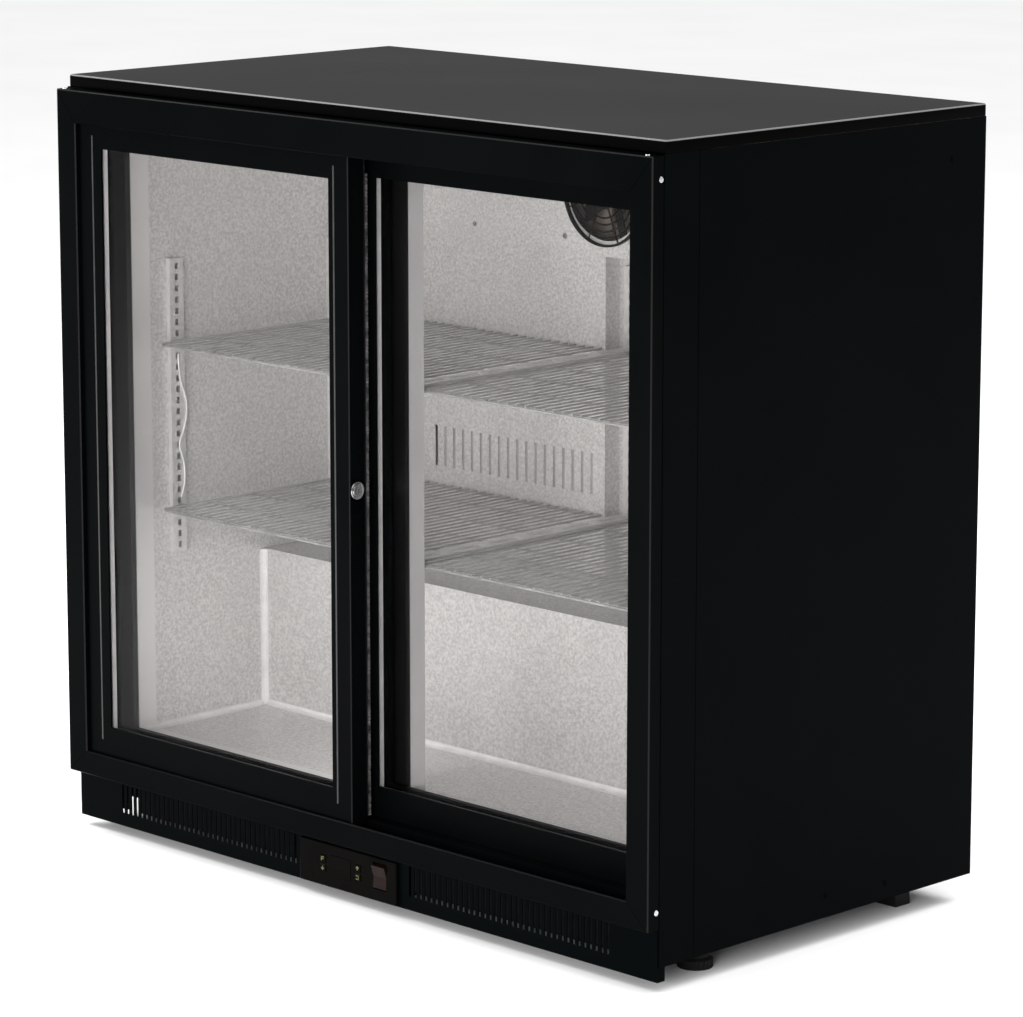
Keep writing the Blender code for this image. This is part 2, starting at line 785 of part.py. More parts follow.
def centre_rail(level, top):
    """The hat-shaped rail that carries the inner ends of two shelves."""
    flange = top - SHELF_THICK - 0.0015
    crown = top - 0.0015
    line = [
        (-0.0210, flange),
        (-0.0115, flange),
        (-0.0115, crown),
        (0.0115, crown),
        (0.0115, flange),
        (0.0210, flange),
    ]
    start, end = CASSETTE_BACK + 0.0235, DUCT_FRONT + 0.0160
    rail = folded(f"centre_rail_{level}", line, "Y", start, end, GALVANISED, 0.0012)
    slot = box(f"cut_rail_{level}", (-0.004, -0.140, crown - 0.003), (0.004, -0.096, crown + 0.003))
    cut(rail, repeat(slot, (0, 0.0565, 0), 6))


def shelf(level, word, top):
    """A shelf: a border with bars that run front to back, a wire pitch apart."""
    side = SIDES[word]
    rack = side_box(
        f"shelf_{level}_{word}",
        side,
        (SHELF_INNER, SHELF_OUTER),
        (SHELF_FRONT, SHELF_BACK),
        (top - SHELF_THICK, top),
        CHROME,
    )
    count = int((SHELF_OUTER - SHELF_INNER) / WIRE_PITCH) - 1
    middle = side * (SHELF_INNER + SHELF_OUTER) / 2
    first = middle - (count - 1) * WIRE_PITCH / 2
    slot = box(
        f"cut_shelf_{level}_{word}",
        (first - WIRE_PITCH / 2 + 0.0013, SHELF_FRONT + 0.006, top - 0.02),
        (first + WIRE_PITCH / 2 - 0.0013, SHELF_BACK - 0.006, top + 0.02),
    )
    cut(rack, repeat(slot, (WIRE_PITCH, 0, 0), count))


def racking():
    for word, side in SIDES.items():
        pilaster(f"pilaster_{word}_front", side, -0.1205)
        pilaster(f"pilaster_{word}_rear", side, 0.1210)
    pilaster("pilaster_centre_rear", 0, INNER_BACK - 0.0023, 0.0)
    for level, top in SHELF_LEVELS.items():
        centre_rail(level, top)
        for word in SIDES:
            shelf(level, word, top)


# ---------------------------------------------------------------- evaporator
def fan_blades(name, centre, axis, hub, tip, count, chord):
    """Pitched blades round a hub, as a shape to join to it."""
    bm = bmesh.new()
    for number in range(count):
        made = bmesh.ops.create_cube(bm, size=1.0)["verts"]
        bmesh.ops.scale(bm, vec=(tip - hub * 0.8, chord, 0.0016), verts=made)
        bmesh.ops.rotate(bm, matrix=Matrix.Rotation(math.radians(28), 3, "X"), verts=made)
        bmesh.ops.translate(bm, vec=((tip + hub * 0.8) / 2, 0, 0), verts=made)
        bmesh.ops.rotate(bm, matrix=Matrix.Rotation(math.tau * number / count, 3, "Z"), verts=made)
    bmesh.ops.transform(bm, matrix=TURN_TO[axis], verts=bm.verts)
    return place(name, mesh_from(name, bm), centre)


def evaporator():
    reach = INNER - 0.0015
    plate_line = [
        (FAN_PLATE_FRONT + SHEET / 2, CEILING - 0.0005),
        (FAN_PLATE_FRONT + SHEET / 2, DUCT_TOP + 0.0010),
        (INNER_BACK - 0.0025, DUCT_TOP + 0.0010),
    ]
    cover = folded("evaporator_cover", plate_line, "X", -reach, reach, STUCCO)
    cut(cover, cylinder("cut_fan_hole", (0, FAN_PLATE_FRONT, FAN_Z), "Y", 0.02, FAN_RADIUS - 0.005))

    recess = 0.0225
    rear = INNER_BACK - 0.0015
    front = DUCT_FRONT + SHEET / 2
    duct_line = [
        (-reach, front),
        (-recess, front),
        (-recess, rear),
        (recess, rear),
        (recess, front),
        (reach, front),
    ]
    duct = folded("duct_panel", duct_line, "Z", STEP_TOP + 0.0005, DUCT_TOP, STUCCO)
    pitch = 0.0147
    for word, side in SIDES.items():
        first = min(side * 0.0425, side * (0.0425 + 17 * pitch))
        slot = box(
            f"cut_duct_{word}",
            (first - 0.002, front - 0.01, 0.3805),
            (first + 0.002, front + 0.01, 0.4275),
        )
        cut(duct, repeat(slot, (pitch, 0, 0), 18))

    guard_back = FAN_PLATE_FRONT - 0.0005
    guard_front = FAN_PLATE_FRONT - 0.0055
    guard = box(
        "fan_guard",
        (-FAN_RADIUS + 0.001, guard_front + 0.0003, FAN_Z - 0.0015),
        (FAN_RADIUS - 0.001, guard_front + 0.0018, FAN_Z + 0.0015),
        BLACK_PLASTIC,
    )
    join(
        guard,
        box(
            "join_guard_bar",
            (-0.0015, guard_front + 0.0004, FAN_Z - FAN_RADIUS + 0.001),
            (0.0015, guard_front + 0.0017, FAN_Z + FAN_RADIUS - 0.001),
        ),
    )
    for number, radius in enumerate((FAN_RADIUS, 0.046, 0.034)):
        depth = guard_back - guard_front if number == 0 else 0.0020
        centre = (0, guard_front + depth / 2, FAN_Z)
        ring = cylinder(f"join_guard_ring_{number}", centre, "Y", depth, radius + 0.0012, segments=28)
        eye = cylinder(f"cut_guard_ring_{number}", centre, "Y", depth + 0.01, radius - 0.0012, segments=28)
        cut(ring, eye)
        join(guard, ring)
    join(guard, cylinder("join_guard_boss", (0, guard_front + 0.001, FAN_Z), "Y", 0.002, 0.019, segments=20))

    motor_start = guard_front + 0.0020 + GAP
    motor_end = FAN_PLATE_FRONT + 0.0040
    cylinder(
        "evaporator_fan_motor",
        (0, (motor_start + motor_end) / 2, FAN_Z),
        "Y",
        motor_end - motor_start,
        0.017,
        BLACK_PLASTIC,
        24,
    )
    hub_start = motor_end + 0.0005
    hub_length = 0.014
    hub_centre = (0, hub_start + hub_length / 2, FAN_Z)
    fan = cylinder("evaporator_fan", hub_centre, "Y", hub_length, 0.017, BLACK_PLASTIC, 20)
    join(fan, fan_blades("join_evaporator_blades", hub_centre, "Y", 0.017, 0.052, 5, 0.024))

    coil = box("evaporator_coil", (-0.36, 0.1775, 0.668), (0.36, 0.1965, 0.796), COPPER)
    fin = box("cut_coil_fins", (-0.340, 0.17, 0.674), (-0.326, 0.185, 0.790))
    cut(coil, repeat(fin, (0.0295, 0, 0), 24))


# ---------------------------------------------------------------- refrigeration machine
def machine():
    base = FLOOR_GAP + 0.0025
    profile = [
        (0.0, 0.168),
        (0.030, 0.165),
        (0.055, 0.150),
        (0.065, 0.128),
        (0.067, 0.100),
        (0.070, 0.097),
        (0.070, 0.092),
        (0.067, 0.089),
        (0.066, 0.050),
        (0.052, 0.020),
        (0.050, 0.002),
        (0.0, 0.002),
    ]
    can = turned("compressor", profile, (COMPRESSOR_X, MACHINE_Y, base), BLACK_STEEL, 24)
    bed = box(
        "join_compressor_plate",
        (COMPRESSOR_X - 0.080, MACHINE_Y - 0.072, base),
        (COMPRESSOR_X + 0.080, MACHINE_Y + 0.072, base + 0.005),
    )
    join(can, bed)

    fan_x = -0.215
    fan_z = 0.125
    condenser = box("condenser_coil", (-0.300, 0.062, base), (-0.255, 0.232, 0.215), COPPER)
    fin = box("cut_condenser_fins", (-0.269, 0.070, 0.05), (-0.250, 0.076, 0.20))
    cut(condenser, repeat(fin, (0, 0.0130, 0), 12))

    hub = (fan_x, MACHINE_Y, fan_z)
    fan = cylinder("condenser_fan", hub, "X", 0.020, 0.022, BLACK_PLASTIC, 20)
    join(fan, fan_blades("join_condenser_blades", hub, "X", 0.022, 0.075, 5, 0.034))
    start = fan_x + 0.010 + 0.0005
    middle = start + 0.030
    motor = cylinder("condenser_fan_motor", (middle, MACHINE_Y, fan_z), "X", 0.060, 0.030, BLACK_STEEL, 24)
    leg = box(
        "join_motor_leg",
        (middle - 0.010, MACHINE_Y - 0.015, base),
        (middle + 0.010, MACHINE_Y + 0.015, fan_z),
    )
    foot = box(
        "join_motor_foot",
        (middle - 0.020, MACHINE_Y - 0.035, base),
        (middle + 0.020, MACHINE_Y + 0.035, base + 0.003),
    )
    join(motor, leg)
    join(motor, foot)

    inlet = box("power_inlet", (-0.3845, 0.2200, 0.0505), (-0.3455, BACK - 0.0002, 0.0775), BLACK_PLASTIC)
    join(inlet, box("join_inlet_flange", (-0.3900, 0.2440, 0.0450), (-0.3400, BACK - SHEET - GAP, 0.0830)))
    cut(inlet, box("cut_inlet_socket", (-0.3780, 0.2320, 0.0555), (-0.3520, 0.2600, 0.0725)))


# ---------------------------------------------------------------- feet
def levelling_foot(name, x, y):
    """A round foot on a threaded stud, with three flats for a spanner."""
    profile = [
        (0.0, STUD_TOP),
        (STUD_RADIUS, STUD_TOP),
        (STUD_RADIUS, 0.0265),
        (0.0130, 0.0265),
        (0.0150, 0.0120),
        (0.0175, 0.0100),
        (FOOT_RADIUS, 0.0080),
        (FOOT_RADIUS, 0.0020),
        (FOOT_RADIUS - 0.0015, 0.0),
        (0.0, 0.0),
    ]
    foot = turned(name, profile, (x, y, 0), RUBBER, 18)
    across = 0.0112
    for number in range(3):
        flat = box(
            f"cut_{name}_{number}",
            (across, -0.03, 0.0130),
            (across + 0.01, 0.03, 0.0280),
            origin=(0, 0, 0),
        )
        flat.location = (x, y, 0)
        flat.rotation_euler = (0, 0, math.tau * number / 3)
        cut(foot, flat)


def block_foot(name, x, y):
    """A moulded rear foot that doesn't turn: a tapered base, a neck and its screw."""
    half = REAR_FOOT_WIDTH / 2
    waist = half - 0.0010
    outline = [(x - half, 0), (x + half, 0), (x + waist, REAR_BASE_TOP), (x - waist, REAR_BASE_TOP)]
    foot = plate(name, outline, "Y", y - REAR_FOOT_DEPTH / 2, y + REAR_FOOT_DEPTH / 2, RUBBER)
    neck = box(
        f"join_{name}_neck",
        (x - REAR_NECK / 2, y - REAR_NECK / 2, REAR_BASE_TOP - 0.001),
        (x + REAR_NECK / 2, y + REAR_NECK / 2, FLOOR_GAP + 0.0006),
    )
    screw = cylinder(f"join_{name}_screw", (x, y, 0.034), "Z", 0.030, STUD_RADIUS, segments=16)
    soften(foot, 0.0010)
    join(foot, neck)
    join(foot, screw)


def feet():
    for word, side in SIDES.items():
        levelling_foot(f"foot_front_{word}", side * FOOT_X["front"], FOOT_Y["front"])
        block_foot(f"foot_rear_{word}", side * FOOT_X["rear"], FOOT_Y["rear"])


outer_shell()
insulation()
liner()
surround()
kick_plate()
controls()
doors()
racking()
evaporator()
machine()
feet()
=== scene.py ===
# %% [markdown]
# # An under-counter bottle fridge, dressed for its picture
#
# The fridge is a black steel box that goes under a bar. Two double-glazed doors slide past each
# other in front of a bright embossed aluminium liner with wire shelves. The shapes that fit, slide
# and turn are already there, in the imported frame. This lesson gives them their finishes and adds
# what is too fine for a working model: wires, panes, bristles, screws, ribs and clips.
#
# Many places below are read from the frame, so these need not be lined up by eye.

import math
import random

import bpy
from mathutils import Matrix, Vector


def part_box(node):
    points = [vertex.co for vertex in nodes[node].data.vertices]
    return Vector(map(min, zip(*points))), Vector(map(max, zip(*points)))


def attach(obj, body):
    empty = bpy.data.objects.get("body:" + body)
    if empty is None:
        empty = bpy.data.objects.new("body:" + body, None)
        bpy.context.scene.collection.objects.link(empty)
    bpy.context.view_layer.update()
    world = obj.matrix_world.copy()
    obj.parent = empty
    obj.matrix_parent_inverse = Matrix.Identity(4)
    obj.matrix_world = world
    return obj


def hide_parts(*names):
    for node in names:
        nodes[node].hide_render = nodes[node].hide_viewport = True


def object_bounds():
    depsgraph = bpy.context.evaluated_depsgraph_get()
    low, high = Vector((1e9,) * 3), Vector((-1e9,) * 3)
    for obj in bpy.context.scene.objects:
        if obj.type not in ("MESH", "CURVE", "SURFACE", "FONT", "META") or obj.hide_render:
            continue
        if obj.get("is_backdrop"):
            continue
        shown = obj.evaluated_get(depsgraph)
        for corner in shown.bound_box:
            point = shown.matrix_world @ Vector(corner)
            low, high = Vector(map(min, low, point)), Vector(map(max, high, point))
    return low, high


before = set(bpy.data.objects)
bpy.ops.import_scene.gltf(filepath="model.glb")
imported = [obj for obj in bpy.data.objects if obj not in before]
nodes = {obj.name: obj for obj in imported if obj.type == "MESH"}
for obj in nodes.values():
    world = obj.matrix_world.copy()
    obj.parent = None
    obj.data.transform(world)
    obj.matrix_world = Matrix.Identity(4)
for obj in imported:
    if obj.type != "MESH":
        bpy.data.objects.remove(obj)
cad_low, cad_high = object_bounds()

# %% [markdown]
# ## The camera
#
# A long lens from far away keeps upright edges nearly parallel, as in a catalogue. The camera is
# described the way a photographer would: which way it looks from, how high, how far, at what.

# %% Camera
AZIMUTH = math.radians(45.22)
ELEVATION = math.radians(11.30)
ROLL = math.radians(0.02)
DISTANCE = 4.65
AIM = Vector((0.0650, -0.0577, 0.4124))
LENS = 153.97


def camera_axes(azimuth, elevation, roll):
    """The camera's right, up and back directions."""
    back = Vector((
        math.sin(azimuth) * math.cos(elevation),
        -math.cos(azimuth) * math.cos(elevation),
        math.sin(elevation),
    ))
    level = Vector((math.cos(azimuth), math.sin(azimuth), 0))
    rise = back.cross(level)
    right = math.cos(roll) * level + math.sin(roll) * rise
    up = math.cos(roll) * rise - math.sin(roll) * level
    return right, up, back


right, up, back = camera_axes(AZIMUTH, ELEVATION, ROLL)
bpy.ops.object.camera_add()
camera = bpy.context.object
camera.name = "camera"
camera.data.lens = LENS
camera.data.clip_end = 200
turn = Matrix((right, up, back)).transposed().to_4x4()
camera.matrix_world = Matrix.Translation(AIM + back * DISTANCE) @ turn
bpy.context.scene.camera = camera
print("camera at", [round(value, 3) for value in camera.location])

# %% [markdown]
# ## The studio
#
# Glossy black shows what stands around it more than its own colour. The sky is a dome that is
# bright overhead and dim near the horizon, so the worktop stays dark grey at a low angle while the
# floor is lit white. Two large soft lights from the left and from behind draw a line along every
# rounded edge. Two fills shine in through the glass and three faint ones sit inside, as the liner
# would be black without them. They are hidden from reflections, so that the fronts stay black.

# %% Floor, sky and lamps
FLOOR_SIZE = 120
SKY_LOW = 0.12
SKY_HIGH = 1.25


def link(tree, source, target):
    tree.links.new(source, target)


def node(tree, kind, inputs=None, **settings):
    """Adds a shader node. An input is given as a value or as the socket that feeds it."""
    made = tree.nodes.new("ShaderNode" + kind)
    for key, value in settings.items():
        setattr(made, key, value)
    for key, value in (inputs or {}).items():
        if isinstance(value, bpy.types.NodeSocket):
            link(tree, value, made.inputs[key])
        else:
            made.inputs[key].default_value = value
    return made


def ramp(tree, value, stops):
    """A colour ramp with (place, grey or colour) stops."""
    made = node(tree, "ValToRGB", {"Fac": value})
    elements = made.color_ramp.elements
    while len(elements) < len(stops):
        elements.new(1.0)
    for element, (place, tone) in zip(elements, stops):
        element.position = place
        element.color = (*tone, 1) if hasattr(tone, "__len__") else (tone, tone, tone, 1)
    return made.outputs["Color"]


world = bpy.data.worlds.new("studio")
bpy.context.scene.world = world
world.use_nodes = True
sky = world.node_tree
direction = node(sky, "TexCoord").outputs["Generated"]
height = node(sky, "SeparateXYZ", {"Vector": direction}).outputs["Z"]
shade = ramp(sky, height, [(0.0, SKY_LOW), (0.22, SKY_LOW), (0.60, 1.0), (1.0, 1.0)])
link(sky, shade, sky.nodes["Background"].inputs["Color"])
sky.nodes["Background"].inputs["Strength"].default_value = SKY_HIGH
bpy.context.scene.view_settings.view_transform = "Standard"


def lamp(name, place, target, width, height, power, color=(1, 1, 1)):
    """A soft rectangular lamp that faces a target."""
    bpy.ops.object.light_add(type="AREA", location=place)
    made = bpy.context.object
    made.name = name
    made.data.shape = "RECTANGLE"
    made.data.size = width
    made.data.size_y = height
    made.data.energy = power
    made.data.color = color
    aim = Vector(target) - Vector(place)
    made.rotation_euler = aim.to_track_quat("-Z", "Y").to_euler()
    return made


middle = (cad_low + cad_high) / 2
lamp("softbox_left", (-2.55, -0.95, 3.3), middle, 1.9, 1.9, 120)
lamp("softbox_rear", (1.1, 2.75, 3.4), middle, 1.9, 1.9, 120)
fills = (
    lamp("front_fill", (1.7, -3.4, 0.75), (0.0, 0.1, 0.50), 2.0, 1.0, 125),
    lamp("low_fill", (-0.45, -1.9, 0.40), (-0.25, 0.1, 0.20), 0.9, 0.5, 12),
    lamp("inside_top", (0.0, -0.13, 0.795), (0.0, 0.10, 0.45), 0.74, 0.03, 0.15),
    lamp("inside_left", (-0.05, -0.145, 0.20), (-0.41, -0.03, 0.22), 0.12, 0.05, 0.26),
    lamp("inside_step", (0.0, 0.06, 0.345), (0.0, 0.075, 0.289), 0.74, 0.08, 0.09),
)
for made in fills:
    made.visible_glossy = False
    made.visible_camera = False

# %% [markdown]
# ## Finishes
#
# A real surface is never one flat colour. Each finish below starts from a Principled shader and
# drives it with noise that is read from Object coordinates: the colour drifts between two close
# tones, the roughness drifts too, and a small bump breaks the reflections. Values that are the same
# all over are set on the shader's own sockets.

# %% Tools for finishes
def new_finish(name, roughness=0.5, **sockets):
    """A material with its node tree and shader. Underscores in socket names stand for spaces."""
    material = bpy.data.materials.new(name)
    material.use_nodes = True
    tree = material.node_tree
    shader = tree.nodes["Principled BSDF"]
    shader.inputs["Roughness"].default_value = roughness
    for key, value in sockets.items():
        shader.inputs[key.replace("_", " ")].default_value = value
    return material, tree, shader


def position(tree, stretch=(1, 1, 1)):
    """The point on the piece, in metres, stretched for a pattern with a direction."""
    place = node(tree, "TexCoord").outputs["Object"]
    return node(tree, "Mapping", {"Vector": place, "Scale": stretch}).outputs["Vector"]


def noise(tree, scale, detail=3.0, stretch=(1, 1, 1)):
    """Noise whose grains are about 1/scale metres wide."""
    inputs = {"Vector": position(tree, stretch), "Scale": scale, "Detail": detail}
    return node(tree, "TexNoise", inputs).outputs[0]


def spread(tree, value, low, high, start=0.35, end=0.65):
    """Maps a value from start-end to low-high."""
    inputs = {"Value": value, "From Min": start, "From Max": end, "To Min": low, "To Max": high}
    return node(tree, "MapRange", inputs).outputs["Result"]


def blend_colors(tree, share, first, second):
    """A colour between two, each a colour or a socket."""
    mix = node(tree, "Mix", data_type="RGBA")
    for slot, value in ((0, share), (6, first), (7, second)):
        if isinstance(value, bpy.types.NodeSocket):
            link(tree, value, mix.inputs[slot])
        else:
            mix.inputs[slot].default_value = (*value, 1) if hasattr(value, "__len__") else value
    return mix.outputs[2]


def bump(tree, shader, height, depth, strength=1.0):
    """Gives the shader a bump."""
    inputs = {"Height": height, "Distance": depth, "Strength": strength}
    link(tree, node(tree, "Bump", inputs).outputs["Normal"], shader.inputs["Normal"])


def finish(name, dark, light, mottle, rough, grain, depth, **sockets):
    """A plain finish: two close tones, roughness between two values and a fine grain."""
    material, tree, shader = new_finish(name, **sockets)
    drift = noise(tree, mottle)
    share = spread(tree, drift, 0.0, 1.0)
    link(tree, blend_colors(tree, share, dark, light), shader.inputs["Base Color"])
    link(tree, spread(tree, drift, *rough), shader.inputs["Roughness"])
    bump(tree, shader, noise(tree, grain, 2.0), depth)
    return material


# %% [markdown]
# The black parts come in four kinds. The cabinet's steel is powder coated, with the faint orange
# peel of baked paint. The door frames and the surround are extrusions with die lines along them.
# The controller is polished plastic, and small mouldings and feet are dull. Their specular level is
# low because such coats soak up most of the light.

# %% Black finishes
steel = finish(
    "black_powder_coat", (0.0005, 0.0010, 0.0012), (0.0008, 0.0014, 0.0016), 9,
    (0.30, 0.40), 700, 0.00004, Specular_IOR_Level=0.012,
)
moulded = finish(
    "moulded_black", (0.004, 0.004, 0.004), (0.007, 0.007, 0.007), 30,
    (0.45, 0.60), 1500, 0.00006, Specular_IOR_Level=0.20,
)
enamel = finish(
    "machine_enamel", (0.008, 0.008, 0.009), (0.014, 0.014, 0.015), 14,
    (0.25, 0.40), 500, 0.00008,
)
rubber = finish(
    "foot_moulding", (0.004, 0.004, 0.004), (0.008, 0.008, 0.007), 60,
    (0.55, 0.75), 1800, 0.00010, Specular_IOR_Level=0.2,
)
polished = finish(
    "controller_plastic", (0.0012, 0.0011, 0.0009), (0.0018, 0.0016, 0.0014), 40,
    (0.12, 0.20), 400, 0.00002, Specular_IOR_Level=0.02,
)


def painted_highlight_mask(tree):
    """1 on an upright chamfer, whose normal points half sideways and half forwards: where the highlight is
    painted.
    """
    normal = node(tree, "NewGeometry").outputs["Normal"]
    parts = node(tree, "SeparateXYZ", {"Vector": normal})
    turn = node(tree, "Math", {0: parts.outputs["X"], 1: parts.outputs["Y"]}, operation="MULTIPLY").outputs[0]
    size = node(tree, "Math", {0: turn}, operation="ABSOLUTE").outputs[0]
    return spread(tree, size, 0.0, 1.0, 0.25, 0.40)


def extrusion(name, stretch):
    """A black coated extrusion: fine die lines along it, and a painted highlight that brightens its upright
    chamfers.
    """
    material, tree, shader = new_finish(name, Specular_IOR_Level=0.012)
    drift = noise(tree, 6)
    share = spread(tree, drift, 0.0, 1.0)
    tone = blend_colors(tree, share, (0.0008, 0.0012, 0.0013), (0.0013, 0.0017, 0.0018))
    # Painted highlight: the upright chamfers get a brighter colour that stands in for the light line along
    # them.
    tone = blend_colors(tree, painted_highlight_mask(tree), tone, (0.013, 0.012, 0.012))
    link(tree, tone, shader.inputs["Base Color"])
    link(tree, spread(tree, drift, 0.26, 0.38), shader.inputs["Roughness"])
    bump(tree, shader, noise(tree, 900, 1.0, stretch), 0.00003)
    return material


def worktop_paint_with_painted_light():
    """Satin dark grey paint, coloured by facing: painted shade makes the folded edges black, a painted
    highlight brightens the bend, and the top keeps the paint's grey.
    """
    material, tree, shader = new_finish("worktop_paint_with_painted_light", Specular_IOR_Level=0.012)
    # Painted light: the colour is read from the face's normal, with painted shade down the folded edges and a
    # painted highlight on the bend.
    rise = node(tree, "SeparateXYZ", {"Vector": node(tree, "NewGeometry").outputs["Normal"]}).outputs["Z"]
    stops = [(0.0, 0.0012), (0.20, 0.0012), (0.35, 0.17), (0.92, 0.17), (0.98, 0.019), (1.0, 0.019)]
    bend = ramp(tree, rise, stops)
    drift = noise(tree, 5)
    dusty = node(tree, "Mix", {0: spread(tree, drift, 0.0, 0.12)}, data_type="RGBA", blend_type="MULTIPLY")
    link(tree, bend, dusty.inputs[6])
    dusty.inputs[7].default_value = (0.6, 0.6, 0.62, 1)
    link(tree, dusty.outputs[2], shader.inputs["Base Color"])
    link(tree, spread(tree, drift, 0.24, 0.28), shader.inputs["Roughness"])
    bump(tree, shader, noise(tree, 900, 2.0), 0.00001)
    return material


upright = extrusion("extrusion_upright", (1, 1, 0.02))
level = extrusion("extrusion_level", (0.02, 1, 1))
worktop_coat_with_painted_light = worktop_paint_with_painted_light()
print("black finishes ready")

# %% [markdown]
# ## The liner
#
# The liner is thin aluminium embossed with a stucco pattern, an old way to stiffen a sheet and hide
# dents. The pattern is soft grains about 3 mm across. A noise of that size gives them, and the same
# value lightens and darkens the metal a little, since each grain mirrors a different part of the
# room. Near the doors the sheet was left plain, so the pattern stops by depth.

# %% Stucco aluminium
STUCCO_SCALE = 330
PLAIN_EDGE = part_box("liner_left")[0].y + 0.0255


def stucco_metal(name, plain_edge):
    """Embossed aluminium. In front of plain_edge, along Y, the sheet is smooth."""
    material, tree, shader = new_finish(name, Metallic=0.55, Specular_IOR_Level=0.5)
    cells = noise(tree, STUCCO_SCALE, 1.0)
    depth = node(tree, "SeparateXYZ", {"Vector": position(tree)}).outputs["Y"]
    inside = spread(tree, depth, 0.0, 1.0, plain_edge - 0.001, plain_edge + 0.001)
    grain = spread(tree, cells, 0.0, 1.0, 0.30, 0.70)
    speckle = node(tree, "Math", {0: grain, 1: inside}, operation="MULTIPLY").outputs[0]
    drift = spread(tree, noise(tree, 7), 0.0, 1.0)
    base = blend_colors(tree, drift, (0.78, 0.77, 0.77), (0.84, 0.83, 0.825))
    link(tree, blend_colors(tree, speckle, base, (0.60, 0.59, 0.59)), shader.inputs["Base Color"])
    link(tree, spread(tree, speckle, 0.34, 0.46, 0.0, 1.0), shader.inputs["Roughness"])
    bump(tree, shader, speckle, 0.00040, 0.9)
    return material


liner_metal = stucco_metal("stucco_aluminium", PLAIN_EDGE)
cover_metal = stucco_metal("stucco_cover", -1.0)
print("stucco grains of", round(1000 / STUCCO_SCALE, 1), "mm")

# %% [markdown]
# ## Bright metal, rubber, foam and glass
#
# Shelf strips are galvanised, with soft spangles. Wires and the lock are plated, so they are nearly
# mirrors with a little haze. The panes are drawn as a thin sheet that lets light straight through
# and adds a weak reflection, stronger at a low angle. That is far quicker than true refraction and
# lets the lamps light the inside.

# %% Metals
def plated(name, dark, light, rough, metal=1.0):
    """Bright plating with faint cloudy haze."""
    return finish(name, dark, light, 40, rough, 300, 0.00001, Metallic=metal)


wire_plating = plated("wire_plating", (0.42, 0.42, 0.42), (0.54, 0.54, 0.54), (0.28, 0.40), 0.5)
chrome = plated("lock_chrome", (0.55, 0.55, 0.56), (0.75, 0.75, 0.76), (0.10, 0.20))
zinc = plated("zinc_screw", (0.55, 0.56, 0.57), (0.78, 0.78, 0.80), (0.22, 0.36))
spacer_metal = finish(
    "spacer_aluminium", (0.60, 0.59, 0.59), (0.68, 0.67, 0.67), 25,
    (0.45, 0.60), 800, 0.00003, Metallic=0.3,
)


def galvanised_sheet():
    """Zinc coated sheet: flat spangles, each a slightly different grey."""
    material, tree, shader = new_finish("galvanised_sheet", Metallic=0.6)
    spangle = node(tree, "TexVoronoi", {"Vector": position(tree), "Scale": 160.0}).outputs["Color"]
    value = node(tree, "SeparateXYZ", {"Vector": spangle}).outputs["X"]
    tone = blend_colors(tree, value, (0.70, 0.69, 0.69), (0.80, 0.79, 0.79))
    link(tree, tone, shader.inputs["Base Color"])
    link(tree, spread(tree, value, 0.28, 0.45, 0.0, 1.0), shader.inputs["Roughness"])
    bump(tree, shader, noise(tree, 600, 2.0), 0.00002)
    return material


galvanised = galvanised_sheet()


# %% Glass, brush, foam and small finishes
def pane_glass():
    """Clear float glass as a thin sheet: straight through, with a weak mirror on top."""
    material = bpy.data.materials.new("pane_glass")
    material.use_nodes = True
    tree = material.node_tree
    tree.nodes.remove(tree.nodes["Principled BSDF"])
    drift = spread(tree, noise(tree, 3), 0.0, 1.0)
    tint = blend_colors(tree, drift, (0.965, 0.962, 0.960), (0.975, 0.972, 0.970))
    through = node(tree, "BsdfTransparent", {"Color": tint}).outputs[0]
    mirror = node(tree, "BsdfGlossy", {"Color": (0.92, 0.93, 0.93, 1), "Roughness": 0.02}).outputs[0]
    share = node(tree, "Fresnel", {"IOR": 1.10}).outputs[0]
    mixed = node(tree, "MixShader", {"Fac": share, 1: through, 2: mirror}).outputs[0]
    link(tree, mixed, tree.nodes["Material Output"].inputs["Surface"])
    return material


clear_glass = pane_glass()
pile = finish("brush_pile", (0.015, 0.015, 0.015), (0.13, 0.12, 0.12), 110, (0.6, 0.8), 2500, 0.0001)
# Painted highlight: the trim's grey, lighter than the black stiles, stands in for the light line along them.
trim_grey_painted_highlight = finish("trim_grey_painted_highlight", (0.018, 0.018, 0.018), (0.026, 0.026, 0.026), 50, (0.4, 0.5), 900, 0.00002)
nylon = finish("roller_nylon", (0.62, 0.62, 0.58), (0.72, 0.72, 0.68), 50, (0.40, 0.50), 900, 0.00002)
lead_skin = finish("lead_skin", (0.66, 0.66, 0.65), (0.76, 0.76, 0.75), 60, (0.35, 0.50), 800, 0.00002)
seam_metal = finish("seam_metal", (0.62, 0.61, 0.61), (0.70, 0.69, 0.69), 60, (0.35, 0.50), 700, 0.00002)
# Painted shade: a grey finish for the sheet behind the duct's slots, standing in for the shade inside them.
painted_shade_metal = finish("painted_shade_metal", (0.30, 0.30, 0.30), (0.38, 0.37, 0.37), 60, (0.45, 0.60), 700, 0.00002)


def edged_foam():
    """Yellowish rigid foam whose front rim is closed by a dark strip."""
    material, tree, shader = new_finish("rigid_foam", Roughness=0.85)
    depth = node(tree, "SeparateXYZ", {"Vector": position(tree)}).outputs["Y"]
    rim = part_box("insulation_foam")[0].y + 0.012
    inside = spread(tree, depth, 0.0, 1.0, rim - 0.001, rim + 0.001)
    body = blend_colors(tree, spread(tree, noise(tree, 90), 0.0, 1.0), (0.62, 0.52, 0.28), (0.78, 0.68, 0.42))
    link(tree, blend_colors(tree, inside, (0.010, 0.009, 0.008), body), shader.inputs["Base Color"])
    bump(tree, shader, noise(tree, 700), 0.0006)
    return material


foam = edged_foam()


